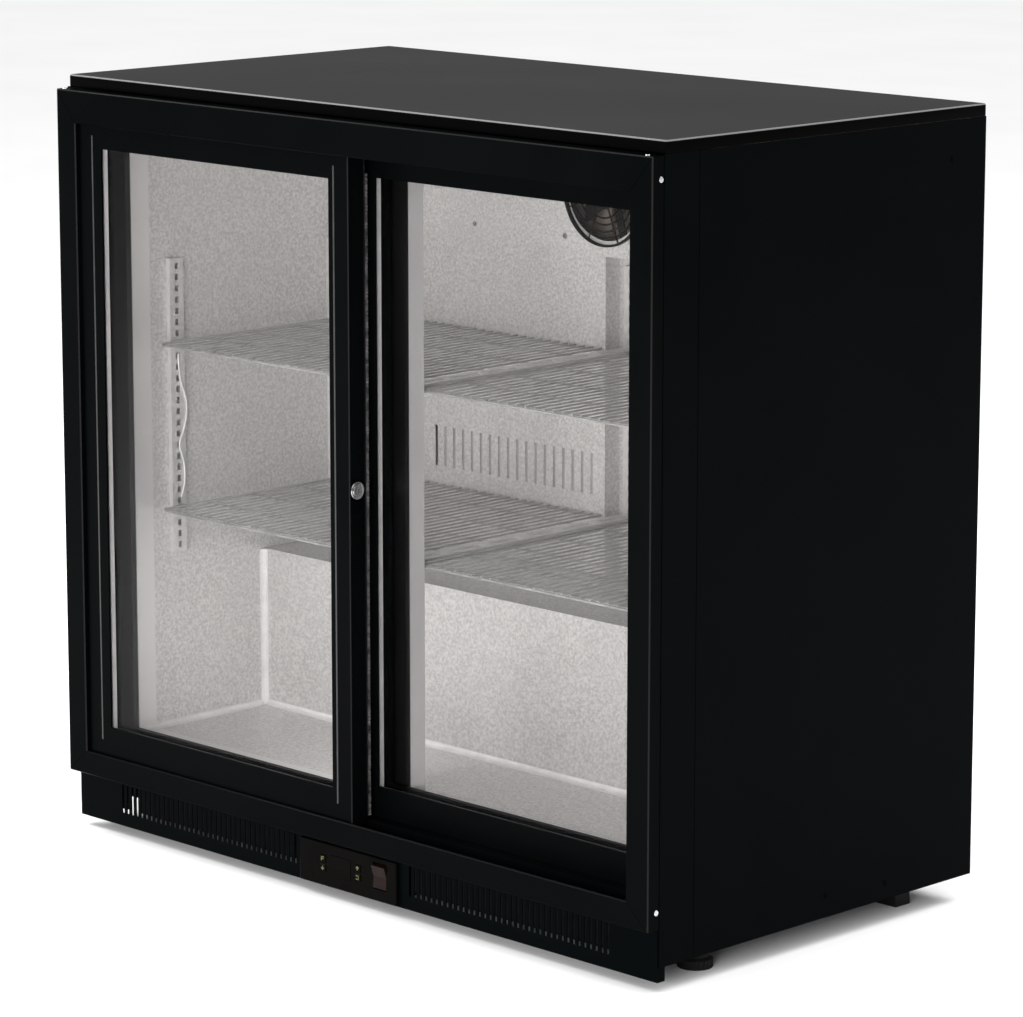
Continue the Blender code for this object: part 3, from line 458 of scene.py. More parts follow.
def finned_coil():
    """A coil block: copper tone at the tubes, bright fins in fine rows."""
    material, tree, shader = new_finish("coil_fins", Metallic=0.8, Roughness=0.4)
    wave = node(tree, "TexWave", {"Vector": position(tree), "Scale": 180.0, "Distortion": 0.4}).outputs[1]
    link(tree, blend_colors(tree, wave, (0.34, 0.22, 0.16), (0.66, 0.62, 0.58)), shader.inputs["Base Color"])
    bump(tree, shader, wave, 0.0004)
    return material


coil = finned_coil()


def lit_plastic(name, dark, light, glow):
    """A translucent coloured cap with a lamp behind it; on printed marks the glow is painted light."""
    material, tree, shader = new_finish(name, Emission_Strength=glow, Roughness=0.35, Specular_IOR_Level=0.10)
    tone = blend_colors(tree, spread(tree, noise(tree, 160), 0.0, 1.0), dark, light)
    link(tree, tone, shader.inputs["Base Color"])
    link(tree, tone, shader.inputs["Emission Color"])
    bump(tree, shader, noise(tree, 900, 1.0), 0.00002)
    return material


red_lens = lit_plastic("red_lens", (0.006, 0.002, 0.002), (0.010, 0.003, 0.003), 0.1)
# The key symbols are printed ink; their glow is painted light, as no lamp sits behind them.
symbol_ink_painted_glow = lit_plastic("symbol_ink_painted_glow", (0.075, 0.072, 0.030), (0.110, 0.105, 0.045), 0.3)
print("finishes:", len(bpy.data.materials))

# %% [markdown]
# ## Finishes on the frame's pieces
#
# Most of the frame's shapes are right as they are and only need their finish. The centre post is
# one pressed piece that is black in front and bare metal at its sides, so its finish changes with
# depth.

# %% Dress the frame
POST_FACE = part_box("centre_post")[0].y + 0.0010


def post_finish():
    """Black on the face, bare smooth metal behind it."""
    material, tree, shader = new_finish("post_metal", Specular_IOR_Level=0.2)
    depth = node(tree, "SeparateXYZ", {"Vector": position(tree)}).outputs["Y"]
    behind = spread(tree, depth, 0.0, 1.0, POST_FACE - 0.0002, POST_FACE + 0.0002)
    drift = spread(tree, noise(tree, 8), 0.0, 1.0)
    metal = blend_colors(tree, drift, (0.50, 0.49, 0.50), (0.56, 0.55, 0.56))
    link(tree, blend_colors(tree, behind, (0.004, 0.004, 0.004), metal), shader.inputs["Base Color"])
    link(tree, spread(tree, drift, 0.38, 0.48, 0.0, 1.0), shader.inputs["Roughness"])
    return material


DRESS = {
    steel: ["side_panel_left", "side_panel_right", "back_panel", "kick_plate", "base_pan"],
    worktop_coat_with_painted_light: ["worktop"],
    galvanised: ["pilaster_left_front", "pilaster_left_rear", "pilaster_right_front",
                 "pilaster_right_rear", "pilaster_centre_rear", "centre_rail_upper", "centre_rail_lower"],
    foam: ["insulation_foam"],
    liner_metal: ["liner_left", "liner_right", "liner_ceiling", "liner_back", "liner_floor"],
    cover_metal: ["evaporator_cover", "duct_panel"],
    upright: ["frame_jamb_left", "frame_jamb_right", "door_left_frame", "door_right_frame"],
    level: ["frame_head", "frame_sill"],
    post_finish(): ["centre_post"],
    polished: ["controller_housing", "display_window", "key_upper_left", "key_upper_right",
               "key_lower_left", "key_lower_right"],
    red_lens: ["rocker_switch"],
    moulded: ["fan_guard", "evaporator_fan", "evaporator_fan_motor", "condenser_fan", "power_inlet"],
    enamel: ["compressor", "condenser_fan_motor"],
    coil: ["evaporator_coil", "condenser_coil"],
    nylon: ["door_left_roller_a", "door_left_roller_b", "door_right_roller_a", "door_right_roller_b"],
    chrome: ["lock_cylinder"],
    rubber: ["foot_front_left", "foot_front_right", "foot_rear_left", "foot_rear_right"],
    wire_plating: ["shelf_upper_left", "shelf_upper_right", "shelf_lower_left", "shelf_lower_right"],
    clear_glass: ["door_left_glass", "door_right_glass"],
    pile: ["brush_seal"],
}
for material, names in DRESS.items():
    for name in names:
        piece = nodes[name]
        piece.data.materials.clear()
        piece.data.materials.append(material)
dressed = {name for names in DRESS.values() for name in names}
print("dressed", len(dressed), "of", len(nodes), "pieces; left over:", sorted(set(nodes) - dressed))

# %% [markdown]
# ## Tools for the fine pieces
#
# A fine piece starts from a primitive and is shaped in edit mode, as by hand. Operators act on
# whatever is selected, so each helper first clears the selection. Faces are picked by where they
# are or where they point, never by number. At the end a piece's place is applied to its mesh.

# %% Modelling helpers
SMOOTH_ANGLE = math.radians(35)


def alone(piece):
    """Selects only this piece."""
    bpy.ops.object.select_all(action="DESELECT")
    piece.select_set(True)
    bpy.context.view_layer.objects.active = piece


def settle(piece):
    """Applies place, turn and size to the mesh."""
    alone(piece)
    bpy.ops.object.transform_apply(location=True, rotation=True, scale=True)


def block(low, high):
    """A box between two corners, from a cube."""
    low, high = Vector(low), Vector(high)
    bpy.ops.object.select_all(action="DESELECT")
    bpy.ops.mesh.primitive_cube_add(size=1, location=(low + high) / 2)
    piece = bpy.context.object
    piece.scale = high - low
    settle(piece)
    return piece


def rod(start, end, radius, sides=10):
    """A round bar between two points, from a cylinder."""
    start, end = Vector(start), Vector(end)
    run = end - start
    bpy.ops.object.select_all(action="DESELECT")
    bpy.ops.mesh.primitive_cylinder_add(
        vertices=sides, radius=radius, depth=run.length, location=(start + end) / 2,
        rotation=run.to_track_quat("Z", "Y").to_euler(),
    )
    piece = bpy.context.object
    settle(piece)
    return piece


def pick(piece, test):
    """Opens the piece in edit mode with only the faces that pass a test selected."""
    alone(piece)
    bpy.ops.object.mode_set(mode="EDIT")
    bpy.ops.mesh.select_mode(type="FACE")
    bpy.ops.mesh.select_all(action="DESELECT")
    bpy.ops.object.mode_set(mode="OBJECT")
    for face in piece.data.polygons:
        face.select = test(face)
    bpy.ops.object.mode_set(mode="EDIT")


def done():
    bpy.ops.object.mode_set(mode="OBJECT")


def is_cap(face):
    """The round ends of a rod have more corners than its sides."""
    return len(face.vertices) > 4


def bevel(width, segments=2):
    """Rounds the edges of the picked faces."""
    bpy.ops.mesh.bevel(offset=width, segments=segments, affect="EDGES")


def soften(piece, width, segments=2):
    """Rounds every edge of a box."""
    pick(piece, lambda face: True)
    bevel(width, segments)
    done()


def row(piece, step, count):
    """Repeats a piece in a straight row."""
    alone(piece)
    bpy.ops.object.modifier_add(type="ARRAY")
    array = piece.modifiers[-1]
    array.use_relative_offset = False
    array.use_constant_offset = True
    array.constant_offset_displace = step
    array.count = count
    bpy.ops.object.modifier_apply(modifier=array.name)


def join(pieces):
    """Joins pieces to the first one."""
    bpy.ops.object.select_all(action="DESELECT")
    for piece in pieces:
        piece.select_set(True)
    bpy.context.view_layer.objects.active = pieces[0]
    bpy.ops.object.join()
    return pieces[0]


def cut(piece, cutter):
    """Takes the cutter's shape out of a piece and removes the cutter."""
    alone(piece)
    bpy.ops.object.modifier_add(type="BOOLEAN")
    tool = piece.modifiers[-1]
    tool.operation = "DIFFERENCE"
    tool.solver = "EXACT"
    tool.object = cutter
    bpy.ops.object.modifier_apply(modifier=tool.name)
    bpy.data.objects.remove(cutter)


def keep(piece, name, material, body, slot, *replaced):
    """Names a finished piece, gives it its finish and hangs it on its body."""
    settle(piece)
    piece.name = name
    piece.data.name = name
    piece.data.materials.clear()
    piece.data.materials.append(material)
    bpy.ops.object.shade_smooth_by_angle(angle=SMOOTH_ANGLE)
    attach(piece, body)
    if replaced:
        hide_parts(*replaced)
    return piece


# %% [markdown]
# ## The worktop's bent edges
#
# The worktop is a sheet folded down on all sides. A sheet can't bend to a sharp corner, so its upper
# edges turn with a radius of 2 mm; that bend catches the light and its finish paints a highlight on it.
# The box starts lower than the fold, all its edges are rounded, and the lower ones are trimmed off again.

# %% Worktop sheet
BEND = 0.0020
FOLD = 0.0012
SPARE = 0.010
low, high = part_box("worktop")
sheet = block(low - Vector((0, 0, SPARE)), high)
soften(sheet, BEND, 4)
cut(sheet, block(low - Vector((0.01, 0.01, 0.02)), (high.x + 0.01, high.y + 0.01, low.z)))
cut(sheet, block(low + Vector((FOLD, FOLD, -0.01)), high - Vector((FOLD, FOLD, FOLD))))
keep(sheet, "worktop_sheet", worktop_coat_with_painted_light, "cabinet", "worktop_steel", "worktop")
print("bend radius", BEND * 1000, "mm")

# %% [markdown]
# ## Wire shelves
#
# A wire shelf is a frame of 2.6 mm wire bent round at its corners, a few cross wires, and a close
# row of thin wires welded on top from front to back. One thin wire is modelled and an array
# repeats it, so the row stays regular. The frame starts as a rectangle whose corners are rounded;
# its outline becomes a curve, and the curve's own bevel makes the round section.

# %% Shelf wires
WIRE = 0.0012
BORDER = 0.0013
WIRE_PITCH = 0.0132
WIRE_MARGIN = 0.008
CROSS_LINES = (-0.084, -0.016, 0.052, 0.120)
LIP_STEP = 0.011
CORNER = 0.012


def wire(start, end, radius):
    """A straight wire with its cut ends rounded."""
    piece = rod(start, end, radius)
    pick(piece, is_cap)
    bevel(radius * 0.45, 2)
    done()
    return piece


def wire_frame(low, high, height):
    """A closed loop of wire with rounded corners."""
    bpy.ops.object.select_all(action="DESELECT")
    bpy.ops.mesh.primitive_plane_add(size=1, location=((low.x + high.x) / 2, (low.y + high.y) / 2, height))
    loop = bpy.context.object
    loop.scale = (high.x - low.x - 2 * BORDER, high.y - low.y - 2 * BORDER, 1)
    settle(loop)
    bpy.ops.object.mode_set(mode="EDIT")
    bpy.ops.mesh.select_all(action="SELECT")
    bpy.ops.mesh.bevel(offset=CORNER, segments=5, affect="VERTICES")
    bpy.ops.mesh.delete(type="ONLY_FACE")
    done()
    bpy.ops.object.convert(target="CURVE")
    loop = bpy.context.object
    loop.data.bevel_depth = BORDER
    loop.data.bevel_resolution = 2
    bpy.ops.object.convert(target="MESH")
    return bpy.context.object


def wire_shelf(low, high):
    """All wires of one shelf, inside its box."""
    deck = high.z - WIRE
    under = low.z + BORDER
    count = int((high.x - low.x - 2 * WIRE_MARGIN) / WIRE_PITCH) + 1
    first = (low.x + high.x) / 2 - WIRE_PITCH * (count - 1) / 2
    strand = wire((first, low.y, deck), (first, high.y, deck), WIRE)
    row(strand, (WIRE_PITCH, 0, 0), count)
    pieces = [strand, wire_frame(low, high, under)]
    for y in (low.y + LIP_STEP, *CROSS_LINES):
        pieces.append(wire((low.x + BORDER, y, under), (high.x - BORDER, y, under), WIRE))
    return join(pieces), count


for level_name in ("upper", "lower"):
    for side_name in ("left", "right"):
        cad_name = f"shelf_{level_name}_{side_name}"
        shelf, wires = wire_shelf(*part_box(cad_name))
        keep(shelf, f"wires_{level_name}_{side_name}", wire_plating, cad_name, "wire", cad_name)
print("four shelves of", wires, "wires each")

# %% [markdown]
# ## Double glazing
#
# Each door holds two 4 mm panes with an aluminium spacer bar between them all round. From the side
# the spacer's inner face shows as a pale stripe just inside the door frame. The spacer starts as a
# rectangle: an inset makes the ring, its middle is deleted and the ring is extruded.

# %% Panes and spacers
PANE = 0.004
SPACER_OUT = 0.001
SPACER_IN = 0.0062


def ring_frame(low, high, width):
    """A rectangular ring that fills the box, width wide as seen from the front."""
    bpy.ops.object.select_all(action="DESELECT")
    middle = (low + high) / 2
    place = (middle.x, low.y, middle.z)
    bpy.ops.mesh.primitive_plane_add(size=1, location=place, rotation=(math.pi / 2, 0, 0))
    ring = bpy.context.object
    ring.scale = (high.x - low.x, high.z - low.z, 1)
    settle(ring)
    bpy.ops.object.mode_set(mode="EDIT")
    bpy.ops.mesh.select_mode(type="FACE")
    bpy.ops.mesh.select_all(action="SELECT")
    bpy.ops.mesh.inset(thickness=width)
    bpy.ops.mesh.delete(type="FACE")
    bpy.ops.mesh.select_all(action="SELECT")
    bpy.ops.mesh.extrude_region_move(TRANSFORM_OT_translate={"value": (0, high.y - low.y, 0)})
    bpy.ops.mesh.select_all(action="SELECT")
    bpy.ops.mesh.normals_make_consistent(inside=False)
    done()
    return ring


def pane(low, high):
    """One sheet of glass with ground edges."""
    sheet = block(low, high)
    soften(sheet, 0.0004, 1)
    return sheet


for side_name in ("left", "right"):
    cad_name = f"door_{side_name}_glass"
    body = f"{side_name}_door"
    low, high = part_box(cad_name)
    front_pane = pane(low, (high.x, low.y + PANE, high.z))
    rear_pane = pane((low.x, high.y - PANE, low.z), high)
    keep(join([front_pane, rear_pane]), f"panes_{side_name}", clear_glass, body, "glass", cad_name)
    inset = Vector((SPACER_OUT, PANE + 0.0001, SPACER_OUT))
    spacer = ring_frame(low + inset, high - inset, SPACER_IN - SPACER_OUT)
    keep(spacer, f"spacer_{side_name}", spacer_metal, body, "galvanised")
print("panes", PANE * 1000, "mm, spacers", round((high.y - low.y - 2 * PANE) * 1000, 1), "mm")

# %% [markdown]
# ## Trim strips on the door stiles
#
# A narrow grey strip runs down each stile beside the glass, but for the stile that the lock's cam
# swings across. It is a bar whose front is beveled until it is nearly half round, so it always
# shows a highlight; its grey tone, lighter than the black frame, is a painted highlight as well.

# %% Stile trims
TRIM_WIDTH = 0.0022
TRIM_DEPTH = 0.0006
TRIM_LOW = 0.110
TRIM_HIGH = 0.788
TRIM_PLACES = {"left": (-0.0067, -0.3955), "right": (0.3955,)}


def trim_strip(x, face):
    """A half-round strip on the door's front."""
    near = (x - TRIM_WIDTH / 2, face - TRIM_DEPTH, TRIM_LOW)
    far = (x + TRIM_WIDTH / 2, face + 0.0004, TRIM_HIGH)
    strip = block(near, far)
    pick(strip, lambda side: side.normal.y < -0.9)
    bevel(TRIM_DEPTH * 0.8, 3)
    done()
    return strip


for side_name, places in TRIM_PLACES.items():
    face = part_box(f"door_{side_name}_frame")[0].y
    strips = [trim_strip(x, face) for x in places]
    keep(join(strips), f"stile_trim_{side_name}", trim_grey_painted_highlight, f"{side_name}_door", "frame_black")
print("trims at", TRIM_PLACES)

# %% [markdown]
# ## Brush seal
#
# The gap between the two sliding doors is closed by a brush: fine pile clamped in a strip on the
# left door. One short bunch of tufts with different leans is made from cones, then an array
# repeats the bunch over the whole height. Real pile has thousands of hairs, but tufts read the same.

# %% Brush strip and tufts
TUFT_PITCH = 0.0020
BUNCH = 9
BACKING = 0.0016


def tuft(root, tip, radius):
    """A bunch of hairs that spreads a little towards its tip."""
    root, tip = Vector(root), Vector(tip)
    run = tip - root
    bpy.ops.object.select_all(action="DESELECT")
    bpy.ops.mesh.primitive_cone_add(
        vertices=6, radius1=radius * 0.7, radius2=radius, depth=run.length, location=(root + tip) / 2,
        rotation=run.to_track_quat("Z", "Y").to_euler(),
    )
    piece = bpy.context.object
    settle(piece)
    pick(piece, lambda face: face.normal.dot(run.normalized()) > 0.9)
    bpy.ops.mesh.inset(thickness=radius * 0.4, depth=-radius * 0.5)
    done()
    return piece


draw = random.Random(7)
low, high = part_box("brush_seal")
tufts = []
for number in range(BUNCH):
    z = low.z + TUFT_PITCH * (number + 0.6)
    for x in (low.x + 0.0012, high.x - 0.0012):
        lean = draw.uniform(-0.0006, 0.0006)
        reach = high.y - draw.uniform(0.0001, 0.0012)
        tufts.append(tuft((x, low.y + BACKING, z), (x + lean * 0.4, reach, z + lean), 0.0011))
pile_rows = join(tufts)
bunches = int((high.z - low.z - 0.001) / (TUFT_PITCH * BUNCH))
row(pile_rows, (0, 0, TUFT_PITCH * BUNCH), bunches)
keep(pile_rows, "brush_pile", pile, "left_door", "brush", "brush_seal")
backing = block(low, (high.x, low.y + BACKING, high.z))
pick(backing, lambda face: face.normal.y > 0.9)
bpy.ops.mesh.inset(thickness=0.0007)
bpy.ops.mesh.extrude_region_move(TRANSFORM_OT_translate={"value": (0, -0.0006, 0)})
done()
keep(backing, "brush_backing", moulded, "left_door", "brush")
print("tufts:", bunches * BUNCH * 2)

# %% [markdown]
# ## Cam lock
#
# The lock is a plated barrel with a sunk face and a keyway, and a flat cam that swings behind the
# other door's frame. The face is inset and pushed in, then pushed out again in the middle, and the
# keyway is cut by a thin block. A pressed ring on the door surrounds it.

# %% Lock barrel, cam and ring
low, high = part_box("lock_cylinder")
lock_y = (low.y + high.y) / 2
lock_radius = (high.y - low.y) / 2
lock_z = low.z + lock_radius
barrel = rod((low.x, lock_y, lock_z), (high.x, lock_y, lock_z), lock_radius, 40)
pick(barrel, lambda face: is_cap(face) and face.normal.x > 0.9)
bevel(0.0006, 2)
done()
pick(barrel, lambda face: is_cap(face) and face.normal.x > 0.9)
bpy.ops.mesh.inset(thickness=0.0012)
bpy.ops.mesh.inset(thickness=0.0004, depth=-0.0009)
bpy.ops.mesh.inset(thickness=0.0009)
bpy.ops.mesh.inset(thickness=0.0003, depth=0.0006)
done()
keyway = block((high.x - 0.004, lock_y - 0.0006, lock_z - 0.0026),
               (high.x + 0.01, lock_y + 0.0006, lock_z + 0.0026))
cut(barrel, keyway)
cam = block((0.0052, lock_y - 0.003, lock_z), (0.0088, lock_y + 0.003, high.z))
pick(cam, lambda face: face.normal.z > 0.9)
bevel(0.0012, 2)
done()
keep(join([barrel, cam]), "cam_lock", chrome, "lock", "lock_chrome", "lock_cylinder")

door_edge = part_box("door_left_frame")[1].x
bpy.ops.object.select_all(action="DESELECT")
bpy.ops.mesh.primitive_torus_add(
    major_radius=lock_radius + 0.0010, minor_radius=0.0009, major_segments=48, minor_segments=12,
    location=(door_edge, lock_y, lock_z), rotation=(0, math.pi / 2, 0),
)
ring = bpy.context.object
settle(ring)
pick(ring, lambda face: face.center.x < door_edge - 0.0003)
bpy.ops.mesh.delete(type="FACE")
bpy.ops.mesh.select_all(action="DESELECT")
bpy.ops.mesh.select_mode(type="EDGE")
bpy.ops.mesh.select_non_manifold()
bpy.ops.mesh.bridge_edge_loops()
done()
keep(ring, "lock_ring", chrome, "left_door", "lock_chrome")
print("lock radius", round(lock_radius * 1000, 1), "mm")

# %% [markdown]
# ## Fan guard
#
# A round guard keeps fingers out of the fan: a deep rim, rings held by ribs, and a disc in front of
# the motor. The rings start as tori, and the rim and disc as cylinders whose faces are inset.

# %% Guard rings, ribs and disc
RING_RADII = (0.0515, 0.0440, 0.0365, 0.0290)
RIM_WALL = 0.0024
DISC_RADIUS = 0.0195
low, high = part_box("fan_guard")
fan_x, fan_z = (low.x + high.x) / 2, (low.z + high.z) / 2
rim_radius = (high.x - low.x) / 2


def guard_ring(radius, thickness):
    bpy.ops.object.select_all(action="DESELECT")
    bpy.ops.mesh.primitive_torus_add(
        major_radius=radius, minor_radius=thickness, major_segments=64, minor_segments=10,
        location=(fan_x, low.y + 0.0012, fan_z), rotation=(math.pi / 2, 0, 0),
    )
    made = bpy.context.object
    settle(made)
    return made


rim = rod((fan_x, low.y, fan_z), (fan_x, high.y, fan_z), rim_radius, 64)
pick(rim, is_cap)
bpy.ops.mesh.inset(thickness=RIM_WALL, use_individual=True)
bpy.ops.mesh.delete(type="FACE")
bpy.ops.mesh.select_mode(type="EDGE")
bpy.ops.mesh.select_non_manifold()
bpy.ops.mesh.bridge_edge_loops()
done()
pick(rim, lambda face: face.normal.y < -0.9)
bevel(0.0007, 2)
done()
disc = rod((fan_x, low.y, fan_z), (fan_x, low.y + 0.0020, fan_z), DISC_RADIUS, 48)
pick(disc, lambda face: is_cap(face) and face.normal.y < 0)
bevel(0.0006, 2)
done()
pick(disc, lambda face: is_cap(face) and face.normal.y < 0)
bpy.ops.mesh.inset(thickness=0.003)
bpy.ops.mesh.inset(thickness=0.0006, depth=-0.0006)
done()
parts = [rim, disc] + [guard_ring(radius, 0.0011) for radius in RING_RADII]
for step in range(8):
    angle = math.tau * (step + 0.5) / 8
    way = Vector((math.cos(angle), 0, math.sin(angle)))
    centre = Vector((fan_x, low.y + 0.0013, fan_z))
    parts.append(rod(centre + way * (DISC_RADIUS - 0.001), centre + way * (rim_radius - 0.001), 0.0009, 8))
keep(join(parts), "guard_rings", moulded, "cabinet", "black_plastic", "fan_guard")
print("guard rings:", len(RING_RADII), "and", step + 1, "ribs")

# %% [markdown]
# ## Screws and rivets
#
# The screws are all one shape: a low round head with a cross recess. It is modelled once, pointing
# up, and copies are turned to where they go. The recess is cut by two crossed blocks. Where a head
# sits on an outer side, it is kept very low so that nothing stands out of the cabinet.

# %% Screw heads
def screw_head(radius, height):
    """A pan head with a cross recess, standing on the origin and pointing up."""
    head = rod((0, 0, -0.0008), (0, 0, height), radius, 24)
    pick(head, lambda face: is_cap(face) and face.normal.z > 0)
    bevel(height * 0.8, 3)
    done()
    arm = radius * 0.62
    slot = radius * 0.13
    deep = height * 0.45
    cut(head, block((-arm, -slot, deep), (arm, slot, 1)))
    cut(head, block((-slot, -arm, deep), (slot, arm, 1)))
    return head


def screws(name, places, facing, radius, height, material, body="cabinet"):
    """Copies of one screw at many places, all facing one way."""
    pattern = screw_head(radius, height)
    turn = Vector(facing).to_track_quat("Z", "Y").to_euler()
    heads = []
    for number, place in enumerate(places):
        head = pattern.copy()
        head.data = pattern.data.copy()
        bpy.context.collection.objects.link(head)
        head.rotation_euler = turn
        head.location = place
        settle(head)
        heads.append(head)
    bpy.data.objects.remove(pattern)
    return keep(join(heads), name, material, body, "galvanised")


cover_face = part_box("evaporator_cover")[0].y
plate_places = [(x, cover_face, fan_z + z) for x in (-0.0623, 0.0623) for z in (-0.055, 0.055)]
screws("fan_plate_screws", plate_places, (0, -1, 0), 0.0034, 0.0014, zinc)
cover_places = [(x, cover_face, z) for x in (-0.385, -0.205, 0.205, 0.385) for z in (0.672,)]
screws("cover_screws", cover_places, (0, -1, 0), 0.0030, 0.0012, zinc)
duct_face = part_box("duct_panel")[0].y
duct_places = [(x, duct_face, z) for x in (-0.390, 0.390) for z in (0.330, 0.500, 0.640)]
screws("duct_screws", duct_places, (0, -1, 0), 0.0030, 0.0012, zinc)
frame_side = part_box("frame_jamb_right")[1].x
for side_name, side in (("left", -1), ("right", 1)):
    side_places = [(side * frame_side, -0.2378, z) for z in (0.8125, 0.0844)]
    screws(f"frame_screws_{side_name}", side_places, (side, 0, 0), 0.0029, 0.00045, zinc)
head_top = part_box("frame_head")[1].z
screws("head_screws", [(x, -0.2462, head_top) for x in (-0.4395, 0.4395)], (0, 0, 1), 0.0026, 0.0013, zinc)
back_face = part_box("back_panel")[1].y - 0.0011
back_places = [(x, back_face, z) for x in (-0.43, -0.15, 0.15, 0.43) for z in (0.05, 0.815)]
screws("back_screws", back_places, (0, 1, 0), 0.0032, 0.0010, zinc)
print("screws ready")


# %% [markdown]
# ## Shelf clips, probe lead and small marks
#
# Pressed clips hook into the slots under each shelf corner. A thin white lead for the temperature
# probe is tucked through two slots of the left front strip and bows out between them; it is a
# curve with a round bevel. The controller's keys carry plain generic symbols.

# %% Shelf clips
CLIP_WIDTH = 0.011
CLIP_PLATE = 0.0012


def clip(strip, side, under):
    """A small tab from a shelf strip's face, turned down at its free end."""
    low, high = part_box(strip)
    wall = high.x if side < 0 else low.x
    y = (low.y + high.y) / 2
    reach = wall - side * 0.011
    tab = block(
        (min(wall, reach), y - CLIP_WIDTH / 2, under - CLIP_PLATE),
        (max(wall, reach), y + CLIP_WIDTH / 2, under),
    )
    pick(tab, lambda face: face.normal.z < -0.9)
    bpy.ops.mesh.inset(thickness=0.0015)
    bpy.ops.mesh.extrude_region_move(TRANSFORM_OT_translate={"value": (0, 0, -0.004)})
    bpy.ops.transform.resize(value=(0.6, 0.8, 1), center_override=(wall, y, under - 0.005))
    done()
    soften(tab, 0.0003, 1)
    return tab


clips = []
for level_name in ("upper", "lower"):
    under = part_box(f"shelf_{level_name}_left")[0].z - 0.0002
    for side_name, side in (("left", -1), ("right", 1)):
        for end in ("front", "rear"):
            clips.append(clip(f"pilaster_{side_name}_{end}", side, under))
keep(join(clips), "shelf_clips", zinc, "cabinet", "galvanised")
print("clips ready")

# %% Probe lead
LEAD_RADIUS = 0.0011
LEAD_ROUTE = (
    (-0.1204, 0.5320), (-0.1204, 0.5020), (-0.1105, 0.4860), (-0.1086, 0.4690), (-0.1112, 0.4500),
    (-0.1195, 0.4340), (-0.1215, 0.4260), (-0.1145, 0.4102), (-0.1126, 0.3952), (-0.1140, 0.3790),
    (-0.1190, 0.3680),
)
strip_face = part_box("pilaster_left_front")[1].x
bpy.ops.object.select_all(action="DESELECT")
bpy.ops.curve.primitive_nurbs_path_add()
lead = bpy.context.object
spline = lead.data.splines[0]
spline.points.add(len(LEAD_ROUTE) - len(spline.points))
for point, (y, z) in zip(spline.points, LEAD_ROUTE):
    point.co = (strip_face + LEAD_RADIUS, y, z, 1)
spline.order_u = 4
spline.use_endpoint_u = True
spline.resolution_u = 6
lead.data.bevel_depth = LEAD_RADIUS
lead.data.bevel_resolution = 3
lead.data.use_fill_caps = True
lead.location = (0, 0, 0)
alone(lead)
bpy.ops.object.convert(target="MESH")
keep(bpy.context.object, "probe_lead", lead_skin, "cabinet", "nylon")
print("lead of", len(LEAD_ROUTE), "points")

# %% Key symbols
SYMBOL_DEPTH = 0.00025


def mark_plate(outline, x, z, face):
    """A flat mark on a front face: one shape in x and z, in metres, a hair in front of it."""
    bpy.ops.object.select_all(action="DESELECT")
    bpy.ops.mesh.primitive_circle_add(vertices=len(outline), radius=0.001, fill_type="NGON")
    mark = bpy.context.object
    for vertex, (dx, dz) in zip(mark.data.vertices, outline):
        vertex.co = (x + dx, face, z + dz)
    bpy.ops.object.mode_set(mode="EDIT")
    bpy.ops.mesh.select_all(action="SELECT")
    bpy.ops.mesh.extrude_region_move(TRANSFORM_OT_translate={"value": (0, -SYMBOL_DEPTH, 0)})
    bpy.ops.mesh.select_all(action="SELECT")
    bpy.ops.mesh.normals_make_consistent(inside=False)
    done()
    mark.location = (0, 0, 0)
    return mark


def bar_outline(width, height, dx=0.0, dz=0.0):
    """A rectangle round (dx, dz)."""
    return [(dx - width / 2, dz - height / 2), (dx + width / 2, dz - height / 2),
            (dx + width / 2, dz + height / 2), (dx - width / 2, dz + height / 2)]


def arrow_outline(up):
    """A plain arrow head on a short stem."""
    shape = [(-0.0028, 0.0), (0.0028, 0.0), (0.0, 0.0027)]
    return [(x, z * up) for x, z in shape]


SYMBOLS = {
    "upper_left": [bar_outline(0.0046, 0.0011, 0, 0.0020), bar_outline(0.0011, 0.0046, -0.0018, 0),
                   bar_outline(0.0034, 0.0011)],
    "lower_left": [arrow_outline(-1), bar_outline(0.0014, 0.0022, 0, 0.0009)],
    "upper_right": [arrow_outline(1), bar_outline(0.0014, 0.0022, 0, -0.0009)],
    "lower_right": [bar_outline(0.0046, 0.0011, 0, 0.0018), bar_outline(0.0046, 0.0011, 0, -0.0018),
                    bar_outline(0.0011, 0.0036, 0.0018, 0)],
}
for key_name, shapes in SYMBOLS.items():
    low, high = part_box(f"key_{key_name}")
    middle_x, middle_z = (low.x + high.x) / 2, (low.z + high.z) / 2
    marks = [mark_plate(shape, middle_x, middle_z, low.y + 0.00005) for shape in shapes]
    keep(join(marks), f"symbol_{key_name}", symbol_ink_painted_glow, f"key_{key_name}", "key_legend")
print("symbols:", len(SYMBOLS))

# %% [markdown]
# ## Rivets, painted shade behind slots and louvres, and corner seams
#
# Blind rivets hold the side panels, so flat that they hardly rise. Behind the lower duct's slots a
# grey sheet gives them painted shade, and only the outermost slot stays open to the dark. The
# liner's inner corners are rounded: each seam starts as a square bar and a cylinder hollows it. A
# black sheet behind the kick plate's louvres is painted shade, and leaves a few of them open at the left end.

# %% Rivets
RIVET_RADIUS = 0.0026
RIVET_RISE = 0.0001
RIVET_PLACES = ((0.0154, 0.0505), (0.1093, 0.0448), (0.1953, 0.7964))


def rivet(x, side, y, z):
    """A flat rivet head with a small dimple, on a side panel."""
    head = rod((x - side * 0.001, y, z), (x + side * RIVET_RISE, y, z), RIVET_RADIUS, 24)
    outer = lambda face: is_cap(face) and face.normal.x * side > 0.9
    pick(head, outer)
    bpy.ops.mesh.inset(thickness=0.0010)
    bpy.ops.mesh.inset(thickness=0.0003, depth=-0.0004)
    done()
    return head


